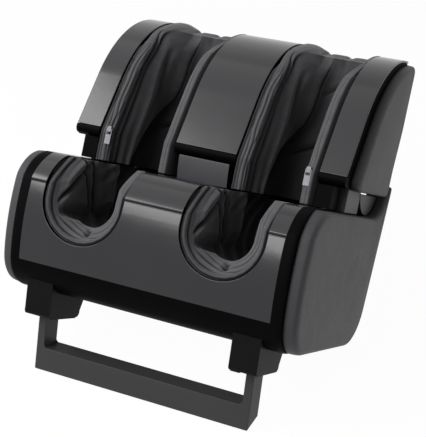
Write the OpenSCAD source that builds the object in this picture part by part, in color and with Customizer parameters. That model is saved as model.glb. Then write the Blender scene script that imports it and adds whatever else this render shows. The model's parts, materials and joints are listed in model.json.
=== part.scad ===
// Foot and calf massager that stands on the floor, tipped back on a fold-out stand.
// The base holds two foot wells with kneading rollers. A calf unit with two open troughs
// is hinged to the back of the base. Every piece is drawn in the machine's own upright
// frame (X across, Y to the back, Z up from the underside) and then tipped as one.

/* [Base unit] */
// Width across the glossy covers, between the side housings
base_w = 374; // [366:1:390]
// Depth of the base, front belly to back
base_d = 332; // [324:1:346]
// Height of the base top above its underside
base_h = 192; // [186:1:196]
// Height of the seam between the front and the top cover
crease_z = 150; // [140:1:156]
// Height of the front cover's lower edge
skirt_z = 40; // [34:1:48]
// How far the tops of the side panels stand behind the heel
back_flare = 12; // [6:1:14]
// Wall of the moulded covers
wall = 3; // [2:0.5:3.5]
// Radius of the bulging front
belly_r = 300; // [260:5:400]
// Height of the foremost line of the belly
belly_z = 118; // [112:1:126]
// Radius under the front edge
toe_r = 57; // [54:1:64]
// Radius of the heel that the tipped machine rests on
heel_r = 62; // [52:1:68]

/* [Side housings and pads] */
// Width of each side housing
housing_w = 15; // [12:1:17]
// Edge thickness of the upholstered side panels
pad_edge = 6; // [4:0.5:8]
// How far the side panels swell past their edge
pad_crown = 13; // [9:0.5:14]
// Reveal of housing behind the front edge of a base panel
panel_reveal = 5; // [4:1:12]
// Reveal of calf shell behind the front edge of a calf panel
leaf_reveal = 30; // [22:1:34]

/* [Foot wells] */
// Width of the covers outside each foot well
well_margin = 23.5; // [22:0.5:26]
// Width of each opening in the covers
well_w = 121; // [112:1:122]
// Depth of the centre of the rounded well bottom below the top
well_depth = 55; // [52:1:58]
// Thickness of the padded lining at a well's rim
foot_roll = 17; // [10:1:20]
// Thickness of the padded lining inside
lining_t = 5; // [3:0.5:8]
// Depth of the lining's folds
fold_d = 4; // [1:0.5:6]

/* [Calf unit] */
// Height of the calf unit's top above the top of the base
calf_h = 235; // [215:1:245]
// Height of the arms' lower front ends above the top of the base
arm_gap = 45; // [43:1:50]
// How far the arms' lower ends stand ahead of the base's middle
arm_reach = 34; // [32:1:38]
// Slope of the straight front stretch
arm_slope = 67.5; // [62:0.5:74]
// Length of the straight front stretch
arm_straight = 88; // [60:1:100]
// How far the arms stand out past the covers of the base
arm_over = 19.5; // [17:0.5:21]
// How far the upper part of the rear wall stands behind the drum
calf_flare = 8; // [4:1:9]
// Width of the glossy centre cover
centre_w = 94; // [88:1:96]
// Thickness of the padded lining at a trough's rim
calf_roll = 18; // [10:1:22]

/* [Calf hinge] */
// Distance of the hinge from the back of the base
hinge_in = 50; // [48:1:54]
// Radius of the drum under the calf unit
drum_r = 47.4; // [46:0.2:47.6]
// Running gap round the drum
drum_gap = 0.6; // [0.4:0.1:1]
// Radius of the hinge pins
hinge_pin_r = 6; // [5:0.5:7]
// Running clearance of a pin in its bore, on the radius
pin_play = 0.05; // [0.02:0.01:0.09]
// Radius of the curved neck plates about the hinge
neck_r = 147; // [144:1:150]
// How far the calf unit can tilt back
tilt_back = 20; // [10:1:22]

/* [Rollers and drive] */
// Height of the roller shafts
shaft_z = 50; // [46:1:52]
// Position of the front roller shaft
front_shaft_y = -75; // [-80:1:-70]
// Position of the rear roller shaft
rear_shaft_y = 45; // [42:1:50]
// Radius of the roller shafts
shaft_r = 5; // [4:0.5:6]
// Largest radius of a kneading roller
roller_r = 26.5; // [24:0.5:27]
// Width of a kneading roller
roller_w = 60; // [50:1:64]
// Gear module
gear_module = 1.25; // [1:0.25:1.25]
// Teeth of the shaft's gear
gear_teeth = 48; // [44:1:50]
// Teeth of the motor's pinion
pinion_teeth = 12; // [11:1:14]
// Radius of the motor's can
motor_r = 21; // [18:1:22]
// Radius of the belt pulleys
pulley_r = 14; // [12:0.5:16]

/* [Stand and feet] */
// Angle at which the machine is tipped back on its stand
tilt = 28.4; // [26:0.2:30]
// Lean of the stand's posts from upright
stand_lean = 16.3; // [12:0.1:20]
// Distance of the stand's outer faces from the sides of the covers
stand_in = 22; // [21:1:24]
// Depth of the stand's flat section
stand_d = 34; // [28:1:35]
// Thickness of the stand's posts
post_t = 12; // [9:0.5:14]
// Height of the stand's crossbar
bar_h = 29; // [24:1:34]
// Distance of the stand's pivot from the front of the base
pivot_in = 72; // [68:1:76]
// Depth of the front feet below the underside
foot_h = 36; // [36:0.5:42]
// Radius of the stand's pivot pins
stand_pin_r = 4; // [3:0.5:5]
// Side gap of a post in its foot
post_gap = 0.5; // [0.3:0.1:1]
// Thickness of the rubber pads
rubber_t = 1.5; // [1:0.25:2.5]

/* [Hidden] */
$fn = 64;
eps = 0.01;
seat = 0.3; // gap of a soft or curved piece from what it lies on

// Colours of the finishes
gloss_black = [0.17, 0.17, 0.18];
satin_black = [0.05, 0.05, 0.055];
stand_grey = [0.22, 0.22, 0.22];
leather_grey = [0.27, 0.27, 0.29];
fabric_black = [0.13, 0.13, 0.14];
neck_grey = [0.3, 0.3, 0.32];
steel = [0.7, 0.7, 0.72];
rubber_black = [0.07, 0.07, 0.07];
nylon_white = [0.85, 0.85, 0.82];

// Base reference lines
half_w = base_w / 2;
front_y = -base_d / 2;
back_y = base_d / 2;
well_r = well_w / 2;
well_x = half_w - well_margin - well_r;
well_z = base_h - well_depth;
housing_x = half_w + housing_w;
pad_x = housing_x + pad_edge + pad_crown;

// Hinge and drum
hinge_y = back_y - hinge_in;
cradle_r = drum_r + drum_gap;
hinge_z = base_h + cradle_r;
horn_a = 22;
calf_back = hinge_y + drum_r;
calf_z = base_h + 30;
bracket_t = 2.4;
bracket_x = well_x + well_r + wall + 0.5;
arm_x0 = bracket_x + bracket_t + 0.6;
arm_x1 = half_w + arm_over;
arm_z = base_h + arm_gap;
calf_top = base_h + calf_h;
stand_w = base_w - 2 * stand_in;
trough_x = (centre_w / 2 + arm_x0) / 2;
trough_half = (arm_x0 - centre_w / 2) / 2 - 0.5;
trough_back = back_y - 35;

// Places of the tipped machine above the floor
heel_y = back_y - heel_r;
lift = heel_r + rubber_t + heel_y * sin(tilt) - heel_r * cos(tilt);
function tipped_y(y, z) = y * cos(tilt) + z * sin(tilt);
function tipped_z(y, z) = -y * sin(tilt) + z * cos(tilt) + lift;
pivot_y = front_y + pivot_in;
pivot_z = -stand_d / 2 - 1.2;
pivot_ty = tipped_y(pivot_y, pivot_z);
pivot_tz = tipped_z(pivot_y, pivot_z);
stand_front = pivot_ty - pivot_tz * tan(stand_lean) - stand_d / 2 / cos(stand_lean);
calf_corner = 12;
top_ty = tipped_y(calf_back + calf_flare - calf_corner, calf_top - calf_corner)
    + calf_corner - wall;
shift_y = -(stand_front + top_ty) / 2;

// Tips the upright machine back and sets it on the floor, its middle over the origin
module tipped() translate([0, shift_y, lift]) rotate([-tilt, 0, 0]) children();

// Extrudes an outline drawn in (Y, Z) along X, or one drawn in (X, Z) along Y
module along_x(x0, x1) translate([x0, 0, 0]) rotate([90, 0, 90]) linear_extrude(x1 - x0) children();
module along_y(y0, y1) translate([0, y1, 0]) rotate([90, 0, 0]) linear_extrude(y1 - y0) children();
module block(a, b) translate(a) cube(b - a);
module rod_x(x0, x1, y, z, r) translate([x0, y, z]) rotate([0, 90, 0]) cylinder(r = r, h = x1 - x0);
module rod_y(y0, y1, x, z, r) translate([x, y0, z]) rotate([-90, 0, 0]) cylinder(r = r, h = y1 - y0);
module both_sides() { children(); mirror([1, 0, 0]) children(); }

// Points on an arc from angle a0 to a1, and on a bow of height h from p to q
function arc(c, r, a0, a1, n) = [for (i = [0:n]) let (a = a0 + (a1 - a0) * i / n)
    [c[0] + r * cos(a), c[1] + r * sin(a)]];
function bow(p, q, h, n) = let (
    d = norm(q - p), r = (d * d / 4 + h * h) / 2 / h, half = asin(d / 2 / r),
    u = (q - p) / d, w = [-u[1], u[0]], c = (p + q) / 2 - w * (r - h))
    [for (i = [0:n]) let (a = -half + 2 * half * i / n) c + r * (cos(a) * w + sin(a) * u)];

// Side view of the base, drawn in by d, with its front part moved back by s
function belly_y(z) = front_y + belly_r - sqrt(belly_r * belly_r - (z - belly_z) * (z - belly_z));
toe_sin = (belly_z - toe_r) / (belly_r - toe_r);
toe_y = front_y + belly_r - (belly_r - toe_r) * sqrt(1 - toe_sin * toe_sin);
toe_a = asin(toe_sin);
crease_a = asin((crease_z - belly_z) / belly_r);
bump_y = front_y + 46;
function horn(d) = max(horn_a, acos(min(1, (hinge_in - d - 1) / (cradle_r + d))));
lip_r = 3; // rounding of the top cover over its lower edge
seam_z = crease_z - 0.6;
function base_outline(d, s = 0) = let (
    lip = [belly_y(crease_z) + s + d + lip_r, crease_z + lip_r - d / 3],
    belly_end = d > 1 ? asin((crease_z - d - belly_z) / belly_r) : crease_a) concat(
    arc([toe_y + s, toe_r], toe_r - d, -90, -180 + toe_a, 16),
    arc([front_y + belly_r + s, belly_z], belly_r - d, -180 + toe_a, -180 - belly_end, 14),
    d > 1 ? [[belly_y(crease_z) + s + 2 * d, crease_z]] : arc(lip, lip_r, -90, -190, 5),
    bow(lip + lip_r * [-0.95, 0.4], [bump_y + s + d / 2, base_h - d], 6, 14),
    arc([hinge_y, hinge_z], cradle_r + d, -90, -horn(d), 16),
    [[back_y - d, hinge_z - (cradle_r + d) * sin(horn(d))]],
    arc([back_y - heel_r, heel_r], heel_r - d, 0, -90, 20));
module base_solid(d, x0, x1) along_x(x0, x1) polygon(base_outline(d));

// Side view of the side panels: as the base, without its seam, and with a horn that rises
// behind the drum from a back that flares to the rear
horn_r = cradle_r + 4;
function panel_outline(d, s = 0) = let (
    start = [belly_y(crease_z) + s + d, crease_z],
    e = 0.35 * d,
    tip = [back_y + back_flare - e, hinge_z + 2 - e],
    flare = atan(back_flare / (hinge_z - heel_r)))
    concat(
    arc([toe_y + s, toe_r], toe_r - d, -90, -180 + toe_a, 16),
    arc([front_y + belly_r + s, belly_z], belly_r - d, -180 + toe_a, -180 - crease_a, 12),
    bow(start + [0.6, 4], [bump_y + s + d / 2, base_h - d], 7, 12),
    arc([hinge_y, hinge_z], cradle_r + d, -90, -13, 16),
    [[hinge_y + horn_r + e, tip[1]], tip],
    arc([back_y - heel_r, heel_r], heel_r - d, -flare, -90, 20));

// Side view of the calf unit, drawn in by d, with its front moved back by s
arm_a = [-arm_reach, arm_z];
arm_b = arm_a + arm_straight * [cos(arm_slope), sin(arm_slope)];
arm_r = (calf_top - arm_b[1]) / (1 - cos(arm_slope));
arm_c = arm_b + arm_r * [sin(arm_slope), -cos(arm_slope)];
nose_r = 9; // rounding of the lower front ends
nose_c = arm_a + 2 * [cos(arm_slope), sin(arm_slope)] + nose_r * [sin(arm_slope), -cos(arm_slope)];
function front_line(z, s = 0) = s + (z < arm_b[1]
    ? arm_a[0] + (z - arm_z) / tan(arm_slope)
    : arm_c[0] - sqrt(max(0, arm_r * arm_r - (z - arm_c[1]) * (z - arm_c[1]))));
function calf_outline(d, s = 0) = let (
    y_end = calf_back + calf_flare - calf_corner,
    c = arm_c + [s, 0],
    a_end = max(90, acos(max(-1, min(1, (y_end - c[0]) / (arm_r - d))))),
    low = max(d, 0) + calf_z,
    side = asin((hinge_z - low) / (drum_r - d)))
    concat(
    [[nose_c[0] + 10 + s, low]],
    arc(nose_c + [s, 0], nose_r - d, 270, 90 + arm_slope, 8),
    arc(c, arm_r - d, 90 + arm_slope, a_end, 24),
    arc([y_end, c[1] + (arm_r - d) * sin(a_end) - calf_corner + d], calf_corner - d, 90, 0, 6),
    [[calf_back + calf_flare - d, hinge_z + 86], [calf_back - d, hinge_z + 24]],
    arc([hinge_y, hinge_z], drum_r - d, 0, -side, 8));
module calf_solid(d, x0, x1) along_x(x0, x1) polygon(calf_outline(d));

// U-shaped opening of the foot wells, widened by g
module well_shape(g, top) {
    intersection() {
        translate([well_x, well_z]) circle(r = well_r + g);
        translate([0, 0]) square([2 * well_x, top]);
    }
    translate([well_x - well_r - g, well_z]) square([2 * (well_r + g), top - well_z]);
}

// Closed solid between rings of equal point counts, with flat end caps
module loft(rings) {
    n = len(rings[0]);
    m = len(rings);
    polyhedron(points = [for (r = rings) for (p = r) p], faces = concat(
        [[for (i = [n - 1:-1:0]) i]],
        [[for (i = [0:n - 1]) (m - 1) * n + i]],
        [for (j = [0:m - 2]) for (i = [0:n - 1]) let (k = (i + 1) % n)
            [j * n + i, j * n + k, (j + 1) * n + k]],
        [for (j = [0:m - 2]) for (i = [0:n - 1]) let (k = (i + 1) % n)
            [j * n + i, (j + 1) * n + k, (j + 1) * n + i]]));
}

// Closed solid between two grids of points: a lining's back and its face
module quilt(back, face) {
    m = len(back);
    n = len(back[0]);
    all = concat([for (r = back) for (p = r) p], [for (r = face) for (p = r) p]);
    f = m * n;
    rim = concat(
        [for (i = [0:n - 1]) i],
        [for (j = [1:m - 1]) j * n + n - 1],
        [for (i = [n - 2:-1:0]) (m - 1) * n + i],
        [for (j = [m - 2:-1:1]) j * n]);
    polyhedron(points = all, faces = concat(
        [for (j = [0:m - 2]) for (i = [0:n - 2]) let (a = j * n + i) [a, a + 1, a + n + 1]],
        [for (j = [0:m - 2]) for (i = [0:n - 2]) let (a = j * n + i) [a, a + n + 1, a + n]],
        [for (j = [0:m - 2]) for (i = [0:n - 2]) let (a = f + j * n + i) [a, a + n + 1, a + 1]],
        [for (j = [0:m - 2]) for (i = [0:n - 2]) let (a = f + j * n + i) [a, a + n, a + n + 1]],
        [for (k = [0:len(rim) - 1]) let (p = rim[k], q = rim[(k + 1) % len(rim)]) [q, p, f + p]],
        [for (k = [0:len(rim) - 1]) let (p = rim[k], q = rim[(k + 1) % len(rim)]) [q, f + p, f + q]]));
}

// ---- Base covers ----

module base_tray() color(satin_black) {
    difference() {
        intersection() {
            base_solid(0, -half_w, half_w);
            block([-half_w, front_y, 0], [half_w, back_y, skirt_z]);
        }
        base_solid(wall, -half_w + wall, half_w - wall);
        both_sides() for (y = foot_screw_y) translate([foot_screw_x, y, -1]) cylinder(r = 2, h = 9);
    }
    // Cross ribs that stiffen the pan between the drive parts
    for (y = rib_y) block([-half_w + wall, y, wall - eps], [half_w - wall, y + wall, rib_top]);
}
rib_y = [front_y + 54, back_y - 76];
rib_top = 16;

module front_cover() color(gloss_black) difference() {
    intersection() {
        base_solid(0, -half_w, half_w);
        block([-half_w, front_y, skirt_z], [half_w, front_y + 40, seam_z]);
    }
    base_solid(wall, -half_w - 1, half_w + 1);
    both_sides() along_y(front_y - 1, front_y + 50) well_shape(0, base_h + 20);
}

module top_cover() color(gloss_black) difference() {
    intersection() {
        base_solid(0, -half_w, half_w);
        block([-half_w, front_y, seam_z], [half_w, top_end, base_h + 1]);
    }
    base_solid(wall, -half_w - 1, half_w + 1);
    both_sides() along_y(front_y - 1, 0) well_shape(0, base_h + 20);
}
top_end = hinge_y - sqrt(neck_r * neck_r - (hinge_z - base_h) * (hinge_z - base_h)) - 0.8;

vent_w = 60;
inlet_x = -120;
inlet_z = 84;
switch_x = -76;
module back_cover() color(satin_black) difference() {
    intersection() {
        base_solid(0, -half_w, half_w);
        block([-half_w, trough_back + wall, skirt_z], [half_w, back_y, hinge_z]);
    }
    base_solid(wall, -half_w + wall, half_w - wall);
    // Rows of vent slots, the mains inlet and the switch
    for (x = [10:vent_w + 14:100]) for (z = [70:9:124])
        block([x, back_y - wall - 1, z], [x + vent_w, back_y + 1, z + 4]);
    block([inlet_x - 11.7, back_y - 10, inlet_z - 8.7], [inlet_x + 11.7, back_y + 1, inlet_z + 8.7]);
    block([switch_x - 10, back_y - 10, inlet_z - 7], [switch_x + 10, back_y + 1, inlet_z + 7]);
}

// Side housing: its outer rim is rounded over from the outline
module side_housing(rim = 7) color(satin_black) difference() {
    loft(concat(
        [[for (p = panel_outline(0)) [half_w, p[0], p[1]]]],
        [for (a = [0:18:90]) let (d = rim * (1 - cos(a)) * 0.3)
            [for (p = panel_outline(d)) [housing_x - rim * (1 - sin(a)), p[0], p[1]]]]));
    along_x(half_w - 1, housing_x - wall) polygon(panel_outline(wall));
}
module side_housing_right() side_housing();
module side_housing_left() mirror([1, 0, 0]) side_housing();

// Upholstered panel: rings drawn in and raised towards a flat crown
crown_steps = [[0, 0], [0, 0.3], [0.8, 0.55], [3, 0.76], [7, 0.91], [13, 1]];
module side_pad() color(leather_grey) loft(concat(
    [[for (p = panel_outline(1, panel_reveal)) [housing_x, p[0], p[1]]]],
    [for (k = [1:5]) let (c = crown_steps[k])
        [for (p = panel_outline(1 + c[0] * 0.65, panel_reveal + c[0] * 0.5))
            [housing_x + (pad_x - housing_x) * c[1], p[0], p[1]]]]));
module side_pad_right() side_pad();
module side_pad_left() mirror([1, 0, 0]) side_pad();

// ---- Foot wells ----

frame_front = front_y + 18;
heel_wall_y = trough_back - wall;
bracket_screw_z = [125, 160];
module inner_frame() color(rubber_black) difference() {
    intersection() {
        base_solid(wall + 0.4, -half_w + wall, half_w - wall);
        frame_walls();
    }
    // Notches over the pan's ribs, windows for the rollers, and holes for the brackets' screws
    for (y = rib_y) block([-half_w, y - 0.5, 0], [half_w, y + wall + 0.5, rib_top + 0.5]);
    both_sides() for (y = [front_shaft_y, rear_shaft_y])
        block([well_x - roller_w / 2 - 2, y - roller_r - 2, 20],
            [well_x + roller_w / 2 + 2, y + roller_r + 2, 100]);
    both_sides() for (z = bracket_screw_z) rod_x(bracket_x - wall - 1, bracket_x + 1, hinge_y, z, 2);
}
module frame_walls() {
    both_sides() {
        difference() {
            along_y(frame_front, heel_wall_y + wall) well_shape(wall + 0.5, base_h - wall - 2);
            along_y(frame_front - 1, heel_wall_y) well_shape(0.5, base_h);
        }
        // Outer leg and its deck beside each well
        block([half_w - wall - 3.5, frame_front, wall], [half_w - wall - 0.5, heel_wall_y, base_h - 6]);
        block([well_x + well_r + 1, 14, base_h - 9], [half_w - wall - 1, hinge_y - 15, base_h - 6]);
    }
    // Shelf between the wells, and its two legs
    block([-well_x + 18, frame_front, shelf_z - wall], [well_x - 18, -15, shelf_z]);
    both_sides() block([36, frame_front, wall], [39, -100, shelf_z - 1]);
}

// Padded lining of a foot well: a U-shaped quilt with a thick gathered rim that funnels in
// behind the edge of the covers
lining_back = 6;
function cover_front(z) = let (u = min(1, (z - crease_z) / (base_h - crease_z)))
    z < crease_z ? belly_y(z)
    : belly_y(crease_z) + (bump_y - belly_y(crease_z)) * u - 16 * u * (1 - u);
function u_point(r, top, t) = let (side = 2 * (top - well_z), bend = PI * r, len = side + bend, q = t * len)
    q < side / 2 ? [-r, top - q]
    : q > side / 2 + bend ? [r, top - (len - q)]
    : let (a = 180 + (q - side / 2) / r * 180 / PI) [r * cos(a), well_z + r * sin(a)];
function foot_face(t, v) = lining_t + (foot_roll - lining_t) * pow(1 - v, 3)
    + fold_d * pow(sin(180 * t), 2) * (0.5 + 0.5 * sin(1440 * t + 200 * v)) * min(1, 3 * v + 0.3)
    + 5 * pow(abs(2 * t - 1), 6);
module foot_liner(n = 30, m = 13) color(fabric_black) {
    y1 = heel_wall_y - seat;
    top = base_h - 1;
    gap = function (t, v) seat + (lining_back - seat) * min(1, 6 * v) * min(1, 24 * (0.5 - abs(t - 0.5)));
    grid = function (extra) [for (j = [0:m]) let (v = pow(j / m, 1.3)) [for (i = [0:n])
        let (t = i / n, p = u_point(well_r - gap(t, v) - extra * foot_face(t, v), top, t),
            y0 = cover_front(p[1]) + 4 + extra * 9 * pow(1 - v, 6))
        [well_x + p[0], y0 + (y1 - y0) * v, p[1]]]];
    quilt(grid(0), grid(1));
}
module foot_liner_right() foot_liner();
module foot_liner_left() mirror([1, 0, 0]) foot_liner();

module foot_airbags(t = 4.4) color(neck_grey) both_sides() for (s = [-1, 1]) for (y = [-80, 20])
    block([well_x + s * (well_r + 0.5 - t / 2) - t / 2, y, well_z + 1],
        [well_x + s * (well_r + 0.5 - t / 2) + t / 2, y + 80, well_z + 34]);

// ---- Roller drive ----

block_x = well_x + 46;
module bearing_blocks() color(nylon_white) both_sides() for (y = [front_shaft_y, rear_shaft_y]) difference() {
    union() {
        block([block_x - 6, y - 16, wall], [block_x + 6, y + 16, shaft_z - 10]);
        rod_x(block_x - 6, block_x + 6, y, shaft_z, 13);
    }
    rod_x(block_x - 7, block_x + 7, y, shaft_z, shaft_r + 3);
}
module bushes() color("goldenrod") both_sides() for (y = [front_shaft_y, rear_shaft_y]) difference() {
    rod_x(block_x - 7, block_x + 7, y, shaft_z, shaft_r + 3);
    rod_x(block_x - 8, block_x + 8, y, shaft_z, shaft_r + pin_play);
}
module roller_shaft(y) color(steel) rod_x(-block_x - 9, block_x + 9, y, shaft_z, shaft_r);
module roller_shaft_rear() roller_shaft(rear_shaft_y);
module roller_shaft_front() roller_shaft(front_shaft_y);

// Kneading roller: three rounded lobes on a core, bored for its shaft
module rollers(y) color(nylon_white) both_sides() translate([well_x, y, shaft_z]) rotate([0, 90, 0])
    difference() {
        union() {
            cylinder(r = roller_r - 8, h = roller_w, center = true);
            for (k = [-1:1]) translate([0, 0, k * (roller_w / 2 - 7)])
                rotate_extrude() translate([roller_r - 6, 0]) circle(r = 6);
            for (k = [-1:1]) translate([0, 0, k * (roller_w / 2 - 7) - 5]) cylinder(r = roller_r - 6, h = 10);
        }
        cylinder(r = shaft_r, h = roller_w + 2, center = true);
    }
module rollers_rear() rollers(rear_shaft_y);
module rollers_front() rollers(front_shaft_y);

// Involute gear
function involute(rb, a) = [rb * (cos(a) + a * PI / 180 * sin(a)), rb * (sin(a) - a * PI / 180 * cos(a))];
function roll_angle(rb, r) = sqrt(max(0, r * r / rb / rb - 1)) * 180 / PI;
function polar_a(p) = atan2(p[1], p[0]);
function turned(p, a) = [p[0] * cos(a) - p[1] * sin(a), p[0] * sin(a) + p[1] * cos(a)];
module gear_shape(z) {
    r = gear_module * z / 2;
    rb = r * cos(20);
    tip = r + gear_module;
    root = r - 1.25 * gear_module;
    half_tooth = 90 / z * 0.92 + polar_a(involute(rb, roll_angle(rb, r)));
    flank = [for (k = [0:4]) involute(rb, roll_angle(rb, max(rb, root) + (tip - max(rb, root)) * k / 4))];
    polygon([for (i = [0:z - 1]) let (a = 360 * i / z) each concat(
        [turned([root, 0], a - half_tooth)],
        [for (p = flank) turned(p, a - half_tooth)],
        [for (k = [4:-1:0]) turned([flank[k][0], -flank[k][1]], a + half_tooth)],
        [turned([root, 0], a + half_tooth)])]);
}
gear_x = 52;
gear_w = 9;
centre_dist = gear_module * (gear_teeth + pinion_teeth) / 2 + 0.2;
motor_y = rear_shaft_y - centre_dist;
module drive_gear() color(nylon_white) translate([0, rear_shaft_y, shaft_z]) difference() {
    union() {
        along_x(gear_x - gear_w / 2, gear_x + gear_w / 2) gear_shape(gear_teeth);
        rod_x(gear_x - gear_w, gear_x + gear_w - 2, 0, 0, shaft_r + 4);
    }
    rod_x(gear_x - 20, gear_x + 20, 0, 0, shaft_r);
}
// The pinion stands half a pitch round, so that its gap meets the gear's tooth
module motor_pinion() color(steel) translate([0, motor_y, shaft_z]) {
    along_x(gear_x - gear_w / 2 - 1, gear_x + gear_w / 2 + 1)
        rotate(gear_teeth % 2 == 0 ? 180 / pinion_teeth : 0) gear_shape(pinion_teeth);
    rod_x(motor_x1 - 8, gear_x, 0, 0, 2.5);
}
motor_x1 = 40;
motor_len = 82;
module drive_motor() color(satin_black) difference() {
    union() {
        rod_x(motor_x1 - motor_len, motor_x1, motor_y, shaft_z, motor_r);
        block([motor_x1 - 20, motor_y - motor_r, wall], [motor_x1 - 14, motor_y + motor_r, shaft_z]);
        block([motor_x1 - 68, motor_y - motor_r, wall], [motor_x1 - 62, motor_y + motor_r, shaft_z]);
    }
    rod_x(motor_x1 - 9, motor_x1 + 1, motor_y, shaft_z, 2.5 + pin_play);
}
belt_x = -52;
module pulley(y) color(nylon_white) difference() {
    union() {
        rod_x(belt_x - 6, belt_x + 6, y, shaft_z, pulley_r);
        for (x = [belt_x - 7, belt_x + 5.5]) rod_x(x, x + 1.5, y, shaft_z, pulley_r + 3);
    }
    rod_x(belt_x - 8, belt_x + 8, y, shaft_z, shaft_r);
}
module pulley_rear() pulley(rear_shaft_y);
module pulley_front() pulley(front_shaft_y);
module belt_loop(r, w) {
    rod_x(belt_x - w / 2, belt_x + w / 2, front_shaft_y, shaft_z, r);
    rod_x(belt_x - w / 2, belt_x + w / 2, rear_shaft_y, shaft_z, r);
    block([belt_x - w / 2, front_shaft_y, shaft_z - r], [belt_x + w / 2, rear_shaft_y, shaft_z + r]);
}
module drive_belt() color(rubber_black) difference() {
    belt_loop(pulley_r + 0.3 + 1.6, 9);
    belt_loop(pulley_r + 0.3, 11);
}

// ---- Air and power ----

shelf_z = 77;
pump_y = frame_front + 8;
module air_pump() color(steel) {
    block([-28, pump_y, shelf_z], [28, pump_y + 84, shelf_z + 44]);
    for (x = [-15, 15]) rod_y(pump_y + 6, pump_y + 78, x, shelf_z + 48, 11);
    rod_y(pump_y + 84, pump_y + 92, 0, shelf_z + 30, 4);
}
valve_y = pump_y + 96;
module valve_block() color(nylon_white) {
    block([-30, valve_y, shelf_z], [30, valve_y + 22, shelf_z + 24]);
    for (x = [-20:10:20]) translate([x, valve_y + 11, shelf_z + 24 - eps]) cylinder(r = 2.5, h = 8);
}
// Hoses from the valves, which run back below the neck plate towards the hinge
hose_y = valve_y + 11;
hose_z = shelf_z + 56;
module air_hoses() color(rubber_black) for (x = [-20:10:20]) difference() {
    union() {
        translate([x, hose_y, shelf_z + 24]) cylinder(r = 4, h = hose_z - shelf_z - 24);
        translate([x, hose_y, hose_z]) sphere(r = 4);
        rod_y(hose_y, hinge_y - 14, x, hose_z, 4);
    }
    translate([x, hose_y, shelf_z + 23]) cylinder(r = 2.5, h = hose_z - shelf_z - 23);
    rod_y(hose_y, hinge_y, x, hose_z, 2.5);
}
module power_supply() color(steel) {
    block([-well_x - 45, front_shaft_y + 33, wall], [-well_x + 37, motor_y - 12, wall + 34]);
    for (x = [-well_x - 37:12:-well_x + 23])
        block([x, front_shaft_y + 37, wall + 34 - eps], [x + 5, motor_y - 16, wall + 37]);
}
module control_board() color("darkgreen") {
    y0 = front_shaft_y + 31;
    block([well_x - 37, y0, 12], [well_x + 43, motor_y - 8, 13.6]);
    for (x = [well_x - 31, well_x + 37]) for (y = [y0 + 6, motor_y - 14])
        translate([x, y, wall]) cylinder(r = 2.5, h = 9 + eps);
    block([well_x - 19, y0 + 8, 13.6 - eps], [well_x + 1, y0 + 26, 22]);
    for (x = [well_x + 13, well_x + 25]) translate([x, y0 + 18, 13.6 - eps]) cylinder(r = 5, h = 16);
}
module power_inlet() color(satin_black) difference() {
    union() {
        block([inlet_x - 11.7, back_y - 22, inlet_z - 8.7], [inlet_x + 11.7, back_y, inlet_z + 8.7]);
        block([inlet_x - 15, back_y, inlet_z - 12], [inlet_x + 15, back_y + 1.5, inlet_z + 12]);
    }
    block([inlet_x - 9, back_y - 16, inlet_z - 5.5], [inlet_x + 9, back_y + 2, inlet_z + 5.5]);
}
// Frame of the mains switch, which clips into the back cover
module switch_frame() color(satin_black) difference() {
    block([switch_x - 10, back_y - 14, inlet_z - 7], [switch_x + 10, back_y, inlet_z + 7]);
    rod_x(switch_x - 8.6, switch_x + 8.6, switch_y, inlet_z, 5.65);
    block([switch_x - 8.6, switch_y, inlet_z - 5.65], [switch_x + 8.6, back_y + 1, inlet_z + 5.65]);
    rod_x(switch_x - 11, switch_x + 11, switch_y, inlet_z, 1.5);
}
// Rocker of the mains switch, drawn pressed on its lower side
switch_y = back_y - 3.5;
switch_tip = 8;
module mains_switch() color(satin_black) translate([switch_x, switch_y, inlet_z]) rotate([-switch_tip, 0, 0])
    difference() {
        union() {
            rod_x(-8.5, 8.5, 0, 0, 5.6);
            rod_x(-9.9, 9.9, 0, 0, 1.45);
        }
        block([-9, 3, -6], [9, 8, 6]);
    }

// ---- Feet and stand ----

foot_x0 = stand_w / 2 - post_t - post_gap - 17;
foot_x1 = stand_w / 2 + post_gap + 10;
foot_y0 = front_y + 33;
foot_y1 = foot_y0 + 86;
foot_screw_x = foot_x1 - 6;
foot_screw_y = [foot_y0 + 38, foot_y1 - 12];
swing = 90 - (tilt - stand_lean);
// Space that a post sweeps between standing and stowed, seen from the side
module post_sweep() {
    lean = tilt - stand_lean;
    g = stand_d / 2 + seat;
    down = [sin(lean), -cos(lean)];
    side = [-cos(lean), -sin(lean)];
    translate([pivot_y, pivot_z]) circle(r = g);
    polygon([[pivot_y, pivot_z] + g * side, [pivot_y, pivot_z] + g * side + 90 * down,
        [pivot_y + 140, pivot_z - 90], [pivot_y + 140, pivot_z + g], [pivot_y, pivot_z + g]]);
}
foot_round = 7;
module front_foot() color(rubber_black) difference() {
    along_x(foot_x0, foot_x1) difference() {
        polygon(concat(
            [[foot_y0 - 8, tray_z(foot_y0 - 8) + 3]],
            arc([foot_y0 + foot_round, rubber_t - foot_h + foot_round], foot_round, 170, 270, 6),
            arc([foot_y1 - foot_round, rubber_t - foot_h + foot_round], foot_round, -90, 20, 6),
            [[foot_y1 + 8, 0], [foot_y1 + 8, 10]]));
        polygon(base_outline(0));
    }
    along_x(stand_w / 2 - post_t - post_gap, stand_w / 2 + post_gap) post_sweep();
    rod_x(foot_x0 + 2, foot_x1 - 2, pivot_y, pivot_z, stand_pin_r);
    for (y = foot_screw_y) translate([foot_screw_x, y, -9]) cylinder(r = 2, h = 12);
}
function tray_z(y) = toe_r - sqrt(toe_r * toe_r - (toe_y - y) * (toe_y - y));
module front_foot_right() front_foot();
module front_foot_left() mirror([1, 0, 0]) front_foot();

module foot_tips() color(rubber_black) both_sides()
    block([foot_x0 + 1, foot_y0 + foot_round, -foot_h],
        [foot_x0 + 14, foot_y1 - foot_round, rubber_t - foot_h]);

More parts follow.
